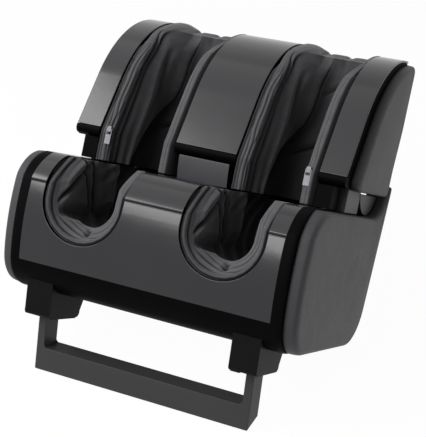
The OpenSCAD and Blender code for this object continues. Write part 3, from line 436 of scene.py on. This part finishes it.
for side, name in ((1, "side_pad_right"), (-1, "side_pad_left")):
    x, y, z = panel_points(base_panel, np.array([120.0, 70.0]), PAD_FOOT, PAD_SWELL, PAD_RIM)
    pad = surface(name + "_leather", tipped(side * x, y, z))
    pad.data.materials.append(leather)
    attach(pad, "base")
    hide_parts(name)


# ---- Front feet, their tips and the rocker pads ----
# The feet are moulded in rubber-filled black plastic and screwed under the pan. Soft rubber
# tips and the two strips round the heel stop the machine from sliding.

foot_black, shader, place = finish("foot_black", (0.004, 0.004, 0.004), 0.4, {"Specular IOR Level": 0.06})
clouds = noise(place, 20.0)
wire(shader, "Base Color", tint(place, clouds, (0.0025, 0.0025, 0.0025), (0.0055, 0.0055, 0.0055)))
wire(shader, "Roughness", 0.40 + noise(place, 300.0, 2.0) * 0.15)
wire(shader, "Normal", relief(place, noise(place, 900.0, 2.0), 0.00004))
for node in ("front_foot_left", "front_foot_right"):
    rounded_copy(node, foot_black, width=1.6, segments=3)

rubber, shader, place = finish("rubber", (0.012, 0.012, 0.012), 0.8, {"Specular IOR Level": 0.3})
wire(shader, "Base Color", tint(place, noise(place, 60.0), (0.009, 0.009, 0.009), (0.02, 0.02, 0.02)))
wire(shader, "Roughness", 0.7 + noise(place, 400.0) * 0.2)
wire(shader, "Normal", relief(place, noise(place, 1200.0, 2.0), 0.00006))
for node in ("foot_tips", "rocker_pads"):
    coated(node, rubber)


# ---- Stand ----
# A flat U of grey painted plastic that swings on two steel pins in the feet. A rubber strip
# lines its crossbar below, and a thin bumper lies along the crossbar's upper rear edge.

stand_grey, shader, place = finish("stand_grey", (0.030, 0.030, 0.031), 0.5, {"Specular IOR Level": 0.2})
wire(shader, "Base Color", tint(place, noise(place, 12.0), (0.026, 0.026, 0.027), (0.036, 0.036, 0.037)))
wire(shader, "Roughness", 0.42 + noise(place, 500.0, 2.0) * 0.2)
wire(shader, "Normal", relief(place, noise(place, 1400.0, 2.0), 0.00005))
rounded_copy("stand_frame", stand_grey, width=1.0, segments=3)
for node in ("stand_floor_strip", "stand_bumper"):
    coated(node, rubber)


# ---- Steel parts ----
# Pins, shafts, screws and the pinion are bright steel, drawn or turned. The hinge brackets and
# the power supply's case are pressed from sheet steel.

steel, shader, place = finish("steel", (0.55, 0.55, 0.57), 0.3, {"Metallic": 1.0})
wire(shader, "Base Color", tint(place, noise(place, 40.0), (0.46, 0.46, 0.48), (0.62, 0.62, 0.64)))
wire(shader, "Roughness", 0.22 + noise(place, 300.0, 3.0, 0.6, (0.05, 1, 1)) * 0.22)
wire(shader, "Normal", relief(place, noise(place, 900.0, 2.0, 0.5, (0.05, 1, 1)), 0.00002))
for node in (
    "stand_pins", "roller_shaft_rear", "roller_shaft_front", "motor_pinion", "hinge_pins",
    "hinge_bracket_left", "hinge_bracket_right", "base_screws", "calf_screws", "power_supply",
):  # fmt: skip
    coated(node, steel)


# ---- Zips ----
# The sliders, at the outer lower corners of the trough linings, and the bows that hang from
# them are cast in zinc with a dark nickel plating.

dark_nickel, shader, place = finish("dark_nickel", (0.05, 0.05, 0.055), 0.4, {"Metallic": 1.0})
wire(shader, "Base Color", tint(place, noise(place, 60.0), (0.07, 0.07, 0.075), (0.14, 0.14, 0.15)))
wire(shader, "Roughness", 0.30 + noise(place, 500.0) * 0.2)
wire(shader, "Normal", relief(place, noise(place, 700.0, 2.0), 0.00003))
for node in ("zip_sliders", "zip_pull_left", "zip_pull_right"):
    coated(node, dark_nickel)


# ---- Inner frame, rollers, drive, air pump and electrics ----
# The frame, the switch and the inlet are moulded in black nylon, and the rollers, blocks, gear,
# pulleys and valves in white. The bushes are sintered bronze, the cans of the motor and the
# pump are zinc-plated, the belt and the hoses are rubber, and the board is green laminate.

frame_black, shader, place = finish("frame_black", (0.02, 0.02, 0.02), 0.6)
wire(shader, "Base Color", tint(place, noise(place, 25.0), (0.014, 0.014, 0.014), (0.026, 0.026, 0.026)))
wire(shader, "Roughness", 0.5 + noise(place, 300.0) * 0.2)
wire(shader, "Normal", relief(place, noise(place, 700.0, 2.0), 0.00005))
for node in ("inner_frame", "switch_frame", "power_inlet", "mains_switch"):
    coated(node, frame_black)

nylon, shader, place = finish("nylon", (0.72, 0.71, 0.66), 0.45)
wire(shader, "Base Color", tint(place, noise(place, 30.0), (0.64, 0.63, 0.58), (0.76, 0.75, 0.70)))
wire(shader, "Roughness", 0.38 + noise(place, 250.0) * 0.2)
wire(shader, "Normal", relief(place, noise(place, 800.0, 2.0), 0.00004))
for node in (
    "bearing_blocks", "rollers_rear", "rollers_front", "drive_gear", "pulley_rear",
    "pulley_front", "valve_block",
):  # fmt: skip
    coated(node, nylon)

bronze, shader, place = finish("bronze", (0.48, 0.28, 0.10), 0.4, {"Metallic": 1.0})
wire(shader, "Base Color", tint(place, noise(place, 120.0), (0.40, 0.22, 0.08), (0.56, 0.34, 0.13)))
wire(shader, "Roughness", 0.34 + noise(place, 600.0) * 0.2)
wire(shader, "Normal", relief(place, noise(place, 2000.0, 2.0), 0.00003))
coated("bushes", bronze)

motor_can, shader, place = finish("motor_can", (0.30, 0.30, 0.31), 0.4, {"Metallic": 0.9})
wire(shader, "Base Color", tint(place, noise(place, 50.0), (0.24, 0.24, 0.25), (0.36, 0.36, 0.37)))
wire(shader, "Roughness", 0.32 + noise(place, 400.0, 3.0, 0.6, (1, 0.06, 0.06)) * 0.2)
wire(shader, "Normal", relief(place, noise(place, 900.0, 2.0), 0.00002))
for node in ("drive_motor", "air_pump"):
    coated(node, motor_can)

for node in ("drive_belt", "air_hoses"):
    coated(node, rubber)

board_green, shader, place = finish("board_green", (0.01, 0.10, 0.03), 0.4)
cells = place.node("TexVoronoi", {"Vector": place, "Scale": 260.0}, feature="DISTANCE_TO_EDGE")
tracks = spread(cells, 0.03, 0.06, 1.0, 0.0)
wire(shader, "Base Color", tint(place, tracks, (0.008, 0.08, 0.025), (0.03, 0.20, 0.07)))
wire(shader, "Roughness", 0.35 + noise(place, 300.0) * 0.15)
wire(shader, "Normal", relief(place, tracks, 0.00005))
coated("control_board", board_green)


# ---- Linings of the foot wells ----
# Each well is lined with a quilted bag of black knitted fabric over foam. Its gathered rim
# is tucked in behind the edge of the covers, and the bag falls in long folds to the heel.
# Rubber airbags lie behind it, as they do behind the linings of the calf troughs.

WELL_X, WELL_R, WELL_Z, WELL_BACK = 103.0, 60.5, 137.0, 127.7
BEAD, BEAD_BACK, PLEAT, WALL_GAP = 4.0, 2.5, 6.6, 0.5
HIDDEN_STEP = 8  # a lining's hidden back sheet has every eighth point of its face


def cover_front(z):
    """How far forward the covers reach at a height: the belly, then the bow above the seam."""
    u = np.clip((z - CREASE) / (TOP - CREASE), 0, 1)
    belly = FRONT + BELLY_R - np.sqrt(BELLY_R**2 - (np.minimum(z, CREASE) - BELLY_Z) ** 2)
    return np.where(z < CREASE, belly, CREASE_Y + (TOP_FRONT - CREASE_Y) * u - 16 * u * (1 - u))


def around_u(radius, top, t):
    """A U of straight sides and a half circle, from its left top round to its right top."""
    side, bend = 2 * (top - WELL_Z), math.pi * radius
    q = t * (side + bend)
    a = math.pi + (q - side / 2) / radius
    x = np.where(q < side / 2, -radius, np.where(q > side / 2 + bend, radius, radius * np.cos(a)))
    down = np.where(q < side / 2, top - q, top - (side + bend - q))
    z = np.where((q < side / 2) | (q > side / 2 + bend), down, WELL_Z + radius * np.sin(a))
    return x, z


def ease(low, high, value):
    """A smooth step from 0 at low to 1 at high."""
    u = np.clip((value - low) / (high - low), 0, 1)
    return u * u * (3 - 2 * u)


def hump(value, centre, width):
    """1 at a centre, fading to 0 within about two widths on either side."""
    return np.exp(-(((value - centre) / width) ** 2))


def crease(a, b, p, q, half_width):
    """A valley of depth 1 along the line through two points of a plane: 1 on it, 0 away."""
    along = np.array(b, float) - np.array(a, float)
    away = (along[0] * (q - a[1]) - along[1] * (p - a[0])) / np.linalg.norm(along)
    return hump(away, 0, half_width)


def pleats(phase):
    """Pleats with round backs and sharp valleys, one to each unit of the phase: a power of the
    size of a sine, from -0.6 in a valley to 0.4 on a back."""
    return np.abs(np.sin(math.pi * phase)) ** 0.65 - 0.6


def blurred(height, reach):
    """A height field averaged over squares of 2 * reach + 1 cells, its border repeated."""
    for axis in (0, 1):
        pads = [(reach + 1, reach) if k == axis else (0, 0) for k in (0, 1)]
        total = np.cumsum(np.pad(height, pads, mode="edge"), axis=axis)
        span = height.shape[axis]
        ahead = np.take(total, np.arange(2 * reach + 1, 2 * reach + 1 + span), axis=axis)
        height = (ahead - np.take(total, np.arange(span), axis=axis)) / (2 * reach + 1)
    return height


def cavity_shade(face, least, near, share, far):
    """Painted shade from a height field, from 0 to 1: a least value, and a share of how far each
    point is below the average of its near and of its far neighbours, so that hollows are darker."""
    far_share = 0.12
    below_near, below_far = blurred(face, near) - face, blurred(face, far) - face
    return np.clip(least + below_near * share + below_far * far_share, 0, 1)


def foot_lining(middle, rows=190, columns=340):
    """A lining seen as slices from the rim to the heel. Each slice is a U drawn in by the
    lining's thickness: a bead at the rim, a funnel of pleats that run along the rim, lobes
    with creases between them on the left wall, and a hollow for the foot under them."""
    t = np.linspace(0, 1, columns)[None]
    top = TOP - 1
    z_edge = around_u(WELL_R, top, t)[1]
    y_edge = cover_front(z_edge) + BEAD_BACK
    run = BEAD + (WELL_BACK - y_edge - BEAD) * (np.linspace(0, 1, rows)[1:, None] ** 1.7)
    y, z = y_edge + run, z_edge + 0 * run
    left, right = 1 - ease(0.30, 0.42, t), ease(0.56, 0.68, t)
    low = 1 - left - right

    def by_wall(on_left, on_right, below):
        return left * on_left + right * on_right + low * below

    # The funnel: a groove behind the bead, a full crest, and a fall to the hollow
    crest, swell, fall = by_wall(16, 36, 32), by_wall(4, 19, 17), by_wall(60, 60, 14)
    face = WALL_GAP + 2 * BEAD - 2.5 * hump(run, 8.5, 2.0)
    face = face + swell * ease(6, crest, run) * (1 - ease(crest + 3, crest + 3 + fall, run))

    # Pleats along the rim, which drift a little, and a pinch at the lowest point
    drift = 2.4 * np.sin(9 * t + 1) + 1.3 * np.sin(23 * t + 0.08 * run)
    gathers = pleats((run + drift) / PLEAT) * (3.2 + 1.6 * np.sin(13 * t + run / 6))
    gathers = gathers * ease(5, 10, run) * (1 - ease(crest, crest + 10, run))
    face = face + by_wall(0.3, 1.0, 0.9) * gathers
    face = face - low * 6 * hump(t, 0.52, 0.02) * hump(run, 22, 7)

    # Lobes on the left wall with creases between them, and a long wave towards the heel
    lobes = 10 * ease(12, 26, run) * (1 - ease(4, 14, y))
    lobes = lobes * (1 - 1.1 * crease((-84, 182), (-148, 119), y, z, 4.5) * (1 - ease(-80, -60, y)))
    lobes = lobes * (1 - 1.1 * crease((-68, 182), (-47, 109), y, z, 5.0))
    lobes = lobes * (1 - 0.5 * crease((-100, 186), (-60, 110), y, z, 3.0))
    lobes = lobes + 6 * crease((-16, 200), (-16, 100), y, z, 15.0)
    face = face + (left + 0.7 * low) * lobes * ease(104, 118, z)
    face = face + 1.2 * np.sin(2 * math.pi * (2.2 * run / 100 + 3 * t)) * ease(60, 110, run)

    # Painted shade: in the cavities, in the low hollow behind the crest, and towards the heel end
    hollow_shade = (1 - right) * ease(crest + 4, crest + 16, run) * (1 - ease(104, 116, z))
    hollow_shade = np.maximum(hollow_shade, 0.8 * ease(10, 30, y))
    fold = np.maximum(cavity_shade(face, 0.15, 4, 0.55, 14), hollow_shade)

    # The face and the back sheet turn out of one line at the bead, and meet at the heel
    turn = np.radians(np.linspace(0, 90, 9))[:, None]
    edge = np.clip(24 * (0.5 - np.abs(t - 0.5)), 0, 1)
    gap = WALL_GAP + 5.5 * ease(BEAD, 30, run) * edge
    face_in = np.concatenate([WALL_GAP + BEAD * (1 + np.sin(turn)) + 0 * t, face])
    back_in = np.concatenate([WALL_GAP + BEAD * (1 - np.sin(turn)) + 0 * t, gap])
    back_in[-1] = face_in[-1] = 0.5 * (gap[-1] + face[-1])
    sheet_y = np.concatenate([y_edge + BEAD * (1 - np.cos(turn)), y])
    sheets = []
    for inwards in (face_in, back_in):
        x, z = around_u(WELL_R - inwards, top, t)
        sheets.append(np.stack([middle + x, sheet_y, z], -1))
    sheets[1] = sheets[1][:, ::-HIDDEN_STEP]
    # The bead's turn gets a little painted shade, and the hidden back sheet is painted fully dark
    fold = np.concatenate([0.3 + 0 * face_in[: len(turn)], fold])
    return np.concatenate(sheets, axis=1), np.concatenate([fold, 0 * sheets[1][..., 0] + 1], axis=1)


fabric, shader, place = finish(
    "lining_fabric",
    (0.05, 0.05, 0.052),
    0.85,
    {"Specular IOR Level": 0.2, "Sheen Weight": 0.25, "Sheen Roughness": 0.4},
)
sockets = {"Vector": place, "Scale": 1300.0, "Randomness": 0.35}
knit = place.node("TexVoronoi", sockets, feature="F1")
slub = noise(place, 70.0, 4.0)
# The knit's tone drifts with its slubs, and painted shade from fold darkens its folds and hollows
fold = place.node("Attribute", {}, out="Fac", attribute_name="fold")
knit_tone_and_shade = (1 - fold) * (0.55 + slub * 0.45)
wire(shader, "Base Color", tint(place, knit_tone_and_shade, (0.004, 0.004, 0.0045), (0.105, 0.105, 0.112)))
wire(shader, "Roughness", 0.78 + slub * 0.16)
wire(shader, "Normal", relief(place, knit, 0.00018, relief(place, slub, 0.0008)))

for side, name in ((1, "foot_liner_right"), (-1, "foot_liner_left")):
    grid, folds = foot_lining(side * WELL_X)
    lining = surface(name + "_fabric", tipped(grid[..., 0], grid[..., 1], grid[..., 2]), folds=folds)
    lining.data.materials.append(fabric)
    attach(lining, "base")
    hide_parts(name)

for node in ("foot_airbags", "calf_airbags"):
    coated(node, rubber)


# ---- Shell and neck of the calf unit ----
# The shell and the side links are the same black plastic as the housings. The drum below
# the shell and the curved plate that slides into the base are moulded in grey.

for node in ("calf_shell", "neck_links"):
    rounded_copy(node, satin_black, width=0.3, segments=2)

neck_grey, shader, place = finish("neck_grey", (0.045, 0.045, 0.05), 0.42, {"Specular IOR Level": 0.3})
wire(shader, "Base Color", tint(place, noise(place, 14.0), (0.036, 0.036, 0.041), (0.052, 0.052, 0.058)))
wire(shader, "Roughness", 0.36 + noise(place, 300.0, 2.0) * 0.16)
wire(shader, "Normal", relief(place, noise(place, 900.0, 2.0), 0.00004))
for node in ("neck_drum", "neck_plate"):
    rounded_copy(node, neck_grey, width=0.8, segments=2)


# ---- Glossy covers of the calf unit ----
# One strip down the middle and one over each arm, in the same gloss as the base covers. The
# linings' rolled rims come up beside their edges.

for node in ("centre_cover", "arm_cover_left", "arm_cover_right"):
    rounded_copy(node, gloss_black, width=0.9)


# ---- Upholstered panels on the calf unit ----
# The same padded leather as on the base, cut to the side view of the calf unit. Each panel
# closes an end of the shell and turns with it.

SLOPE = math.radians(67.5)
UP_SLOPE = np.array([math.cos(SLOPE), math.sin(SLOPE)])
OFF_SLOPE = np.array([math.sin(SLOPE), -math.cos(SLOPE)])
CALF_TOP, FLARE, DRUM_R, CORNER, NOSE_R = 427.0, 8.0, 47.4, 12.0, 9.0
ARM_A = np.array([-34.0, 237.0])
ARM_B = ARM_A + 88 * UP_SLOPE
ARM_R = (CALF_TOP - ARM_B[1]) / (1 - math.cos(SLOPE))
ARM_C = ARM_B + ARM_R * OFF_SLOPE
CALF_LOW, FLARE_LOW, FLARE_HIGH = 222.0, HINGE[1] + 24, HINGE[1] + 86


def front_line(z):
    """How far forward the calf unit's front reaches at a height: a slope, then an arc."""
    slope = ARM_A[0] + (z - ARM_A[1]) / math.tan(SLOPE)
    bend = ARM_C[0] - np.sqrt(np.maximum(0, ARM_R**2 - (z - ARM_C[1]) ** 2))
    return np.where(z < ARM_B[1], slope, bend)


def calf_outline(inset, shift):
    """Side view of the calf unit: its nose, the sloping front, the arc over the top, the
    flared back and the drum, drawn in by inset and its front moved back."""
    nose = ARM_A + 2 * UP_SLOPE + NOSE_R * OFF_SLOPE
    y_end = HINGE[0] + DRUM_R + FLARE - CORNER
    centre = ARM_C + [shift, 0]
    a_end = max(90.0, math.degrees(math.acos((y_end - centre[0]) / (ARM_R - inset))))
    low = CALF_LOW + inset
    side = math.degrees(math.asin((HINGE[1] - low) / (DRUM_R - inset)))
    corner_z = centre[1] + (ARM_R - inset) * math.sin(math.radians(a_end)) - CORNER + inset
    rear = HINGE[0] + DRUM_R - inset
    return np.vstack(
        [
            [[nose[0] + 10 + shift, low]],
            arc(nose + [shift, 0], max(NOSE_R - inset, 1.0), 270, 157.5, 8),
            arc(centre, ARM_R - inset, 157.5, a_end, 40),
            arc((y_end, corner_z), max(CORNER - inset, 1.0), 90, 0, 8),
            [[rear + FLARE, FLARE_HIGH], [rear, FLARE_LOW]],
            arc(HINGE, DRUM_R - inset, 0, -side, 10),
        ]
    )


def leaf_panel(inset):
    """The leaf's outline, 29 mm behind the front of the arm covers, and further back as it is
    drawn in."""
    return calf_outline(1 + 0.8 * inset, 29 + 0.7 * inset)


LEAF_FOOT, LEAF_SWELL, LEAF_RIM = 206.5, 13.5, 14.0
for side, name in ((1, "leaf_pad_right"), (-1, "leaf_pad_left")):
    x, y, z = panel_points(leaf_panel, np.array([104.0, 318.0]), LEAF_FOOT, LEAF_SWELL, LEAF_RIM)
    pad = surface(name + "_leather", tipped(side * x, y, z))
    pad.data.materials.append(leather)
    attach(pad, "calf_unit")
    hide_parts(name)


# ---- Linings of the calf troughs ----
# Each trough is lined with the same knitted fabric over foam: a rolled rim beside each cover,
# a deep groove behind it, and a padded back panel that falls in folds towards the foot well.

TROUGH_X, TROUGH_HALF, TROUGH_BACK, CLEAR = 108.5, 61.0, 131.0, 0.3
FOOT_END, CREST_Z, REAR_TOP = 193.5, CALF_TOP - 45, CALF_TOP - 15.7
LEAN_FROM, REAR_LEAN = CALF_TOP - 60, 0.11
CREST_V, REAR_V = 0.65, 0.81
RIM_PLEATS, LEFT_RIM, RIGHT_RIM = 3, 11, 10
LEFT_CREASE, RIGHT_CREASE = 23, 19
# The rims lie RIM_BACK behind the covers' front line, and swell RIM_PROUD forward from there
RIM_BACK, RIM_PROUD = 3, 2.5
RIM_R = ARM_R - RIM_BACK
CREST_A = math.pi - math.asin((CREST_Z - ARM_C[1]) / RIM_R)
CREST_END = math.acos((HINGE[0] + DRUM_R + FLARE - CORNER - 2 - ARM_C[0]) / RIM_R)


def around_plan(half, y0, y1, t):
    """A U in plan with rounded rear corners, from its left front end to its right one."""
    r = np.minimum(half - 1, np.maximum(4, (y1 - y0) * 0.8))
    bend, run = math.pi * r / 2, y1 - y0 - r
    flat = 2 * (half - r)
    total = 2 * run + 2 * bend + flat
    q = np.where(t < 0.5, t, 1 - t) * total
    a = np.clip((q - run) / r, 0, math.pi / 2)
    on_bend = np.where(q < run + bend, -half + r - r * np.cos(a), -half + r + (q - run - bend))
    x = np.where(q < run, -half, on_bend)
    y = np.where(q < run, y0 + q, np.where(q < run + bend, y1 - r + r * np.sin(a), y1))
    return np.where(t < 0.5, x, -x), y


def calf_lining(middle, rows=184, columns=400):
    """A lining seen as slices from the foot end to the top. Each slice is a U in the plane
    through the front line of the covers and the rear wall, drawn in by the thickness: a rolled
    rim on each side, a crease behind it, and a full back panel. Over the top the slices turn
    into a saddle that sags between the rims."""
    even = np.linspace(0, 1, columns)
    dense_at_rims = even - 0.8 * np.sin(2 * math.pi * even) / (2 * math.pi)
    t, v = np.meshgrid(dense_at_rims, np.linspace(0, 1, rows))

    # The slices: from the front line, and over the crest from the rims' arc, to the rear wall
    z = FOOT_END + (CREST_Z - FOOT_END) * np.minimum(v / CREST_V, 1)
    over = np.clip((v - CREST_V) / (1 - CREST_V), 0, 1)
    a = CREST_A + (CREST_END - CREST_A) * over
    sloping = front_line(np.maximum(z, ARM_A[1])) + RIM_BACK
    front_y = np.where(v <= CREST_V, sloping, ARM_C[0] + RIM_R * np.cos(a))
    front_z = np.where(v <= CREST_V, z, ARM_C[1] + RIM_R * np.sin(a))
    rear_z = z + (REAR_TOP - CREST_Z) * np.clip((v - CREST_V) / (REAR_V - CREST_V), 0, 1)
    rear_y = TROUGH_BACK - CLEAR + np.maximum(0, rear_z - LEAN_FROM) * REAR_LEAN
    rear_y = rear_y + np.clip((v - REAR_V) / (1 - REAR_V), 0, 1) * 22
    deep = np.hypot(rear_y - front_y, rear_z - front_z)
    uy, uz = (rear_y - front_y) / deep, (rear_z - front_z) / deep
    half = TROUGH_HALF - CLEAR
    path = 2 * deep + 2 * half
    inner = path - deep
    from_left, from_right = t * path, (1 - t) * path
    still, lower = 1 - ease(0.52, 0.70, v), 1 - ease(0.10, 0.36, v)

    def roll(distance, radius, height):
        return height * np.sqrt(np.clip(1 - ((distance - radius) / radius) ** 2, 0, 1))

    def gathered(distance, radius, drift):
        turn = np.arccos(np.clip(1 - distance / radius, 0, 1))
        height = pleats(2 * RIM_PLEATS * turn / math.pi + drift)
        height = height * (1 - ease(radius * 0.8, radius * 1.1, distance)) * still
        # The third value is painted shade in the pleats' valleys
        return 1.7 * height * np.sin(turn), 1.7 * height * np.cos(turn), np.clip(-1.3 * height, 0, 1)

    # Two valleys run up the panel, and it is full before, between and beyond them
    first = 37 + 3 * np.sin(9 * v)
    second = deep + np.interp(z, (205, 250, 304, 395), (-55, -15, 30, 56)) + 3 * np.sin(17 * v)
    before = np.sin(math.pi * np.clip((from_left - LEFT_CREASE) / (first - LEFT_CREASE), 0, 1))
    across = np.clip((from_left - first) / (second - first), 0, 1)
    between = np.sin(math.pi * across)
    beyond = np.sin(math.pi * np.clip((from_left - second) / (inner + 8 - second), 0, 1))
    face = 5 + roll(from_left, LEFT_RIM, 11) + roll(from_right, RIGHT_RIM, 13)
    face = face + 10 * before**0.6 + (21 - 4 * lower) * between**0.5 + 9 * beyond**0.6
    face = face + 3.0 * still * np.sin(2 * math.pi * (2.1 * across + 1.3 * v)) * between**2

    # Two slanting creases on the back panel, and one behind each rim
    mid = deep.mean()
    slanting = 6 * crease((mid + 8, 300), (mid + 95, 385), from_left, z, 6.0)
    slanting = slanting + 5 * crease((mid - 5, 225), (mid + 90, 270), from_left, z, 5.0)
    face = face - slanting * beyond * still
    face = face - 9 * hump(from_left, LEFT_CREASE, 3) - 5 * hump(from_right, RIGHT_CREASE, 3)

    # Pleats that run along the rims, and beside the left one
    drift = 0.25 * np.sin(11 * v) + 0.15 * np.sin(29 * v + 2)
    right_in, right_out, right_fold = gathered(from_right, RIGHT_RIM, drift)
    left_in, left_out, left_fold = gathered(from_left, LEFT_RIM, 0.4 - drift)
    beside = ease(1, 5, from_left) * (1 - ease(26, 34, from_left)) * still
    face = face + right_in + left_in + 1.8 * pleats(from_left / 8.5 + 1.4 * drift) * beside
    face = np.minimum(face, 4 + 0.42 * deep)
    gap = CLEAR + 6 * np.clip(10 * (0.5 - np.abs(t - 0.5)), 0, 1) * (1 - v * v)

    # Painted shade: in the cavities, beyond the second valley, in the first valley and in rim pleats
    hollow_shade = ease(-5, 6, from_left - second) * (1 - ease(inner - 6, inner + deep * 0.6, from_left))
    hollow_shade = hollow_shade * (0.72 + 0.28 * hump(from_left, second + 8, 16))
    hollow_shade = np.maximum(hollow_shade, 0.95 * hump(from_left, first, 5))
    folds = np.maximum(cavity_shade(face, 0.12, 3, 0.6, 12), hollow_shade) * (1 - over) + 0.2 * over
    folds = np.maximum(folds, np.maximum(right_fold, left_fold))

    # The saddle over the crest: straight across, sagging behind the rims, which stand proud
    saddle = ease(0.60, 0.80, v)
    x_line = half * (2 * t - 1)
    left, right = half + x_line, half - x_line
    sag = (deep - 9) * ease(12, 52, left) * ease(3, 20, right)
    sag = sag + 2.5 * hump(left, 42, 4) + 3 * hump(left, 76, 5)
    proud = 5.5 * ease(-4, 7, left) * (1 - ease(12, 44, left))
    proud = proud + 4 * ease(-3, 5, right) * (1 - ease(6, 18, right))
    sheets = []
    for share in (1.0, 0.0):
        thick = gap + share * face
        start = -share * RIM_PROUD * (1 - np.abs(2 * t - 1))
        x, w = around_plan(half - thick, start, deep - thick, t)
        w = w - share * RIM_PROUD * (hump(from_left, 0, 16) + hump(from_right, 0, 14))
        w = w - share * (right_out + left_out)
        saddle_w = share * (sag - proud) + (1 - share) * (deep - 0.4)
        x = x + (x_line - x) * saddle
        w = w + (saddle_w - w) * saddle
        sheets.append(np.stack([middle + x, front_y + w * uy, front_z + w * uz], -1))
    first_line, last_line = [0.5 * (sheets[0][k] + sheets[1][k])[None] for k in (0, -1)]
    face_grid, back_grid = [np.concatenate([first_line, sheet, last_line]) for sheet in sheets]
    back_grid = back_grid[:, ::-HIDDEN_STEP]
    folds = np.pad(folds, ((1, 1), (0, back_grid.shape[1])), mode="edge")
    return np.concatenate([face_grid, back_grid], axis=1), folds


for side, name in ((1, "calf_liner_right"), (-1, "calf_liner_left")):
    grid, folds = calf_lining(side * TROUGH_X)
    lining = surface(name + "_fabric", tipped(grid[..., 0], grid[..., 1], grid[..., 2]), folds=folds)
    lining.data.materials.append(fabric)
    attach(lining, "calf_unit")
    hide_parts(name)
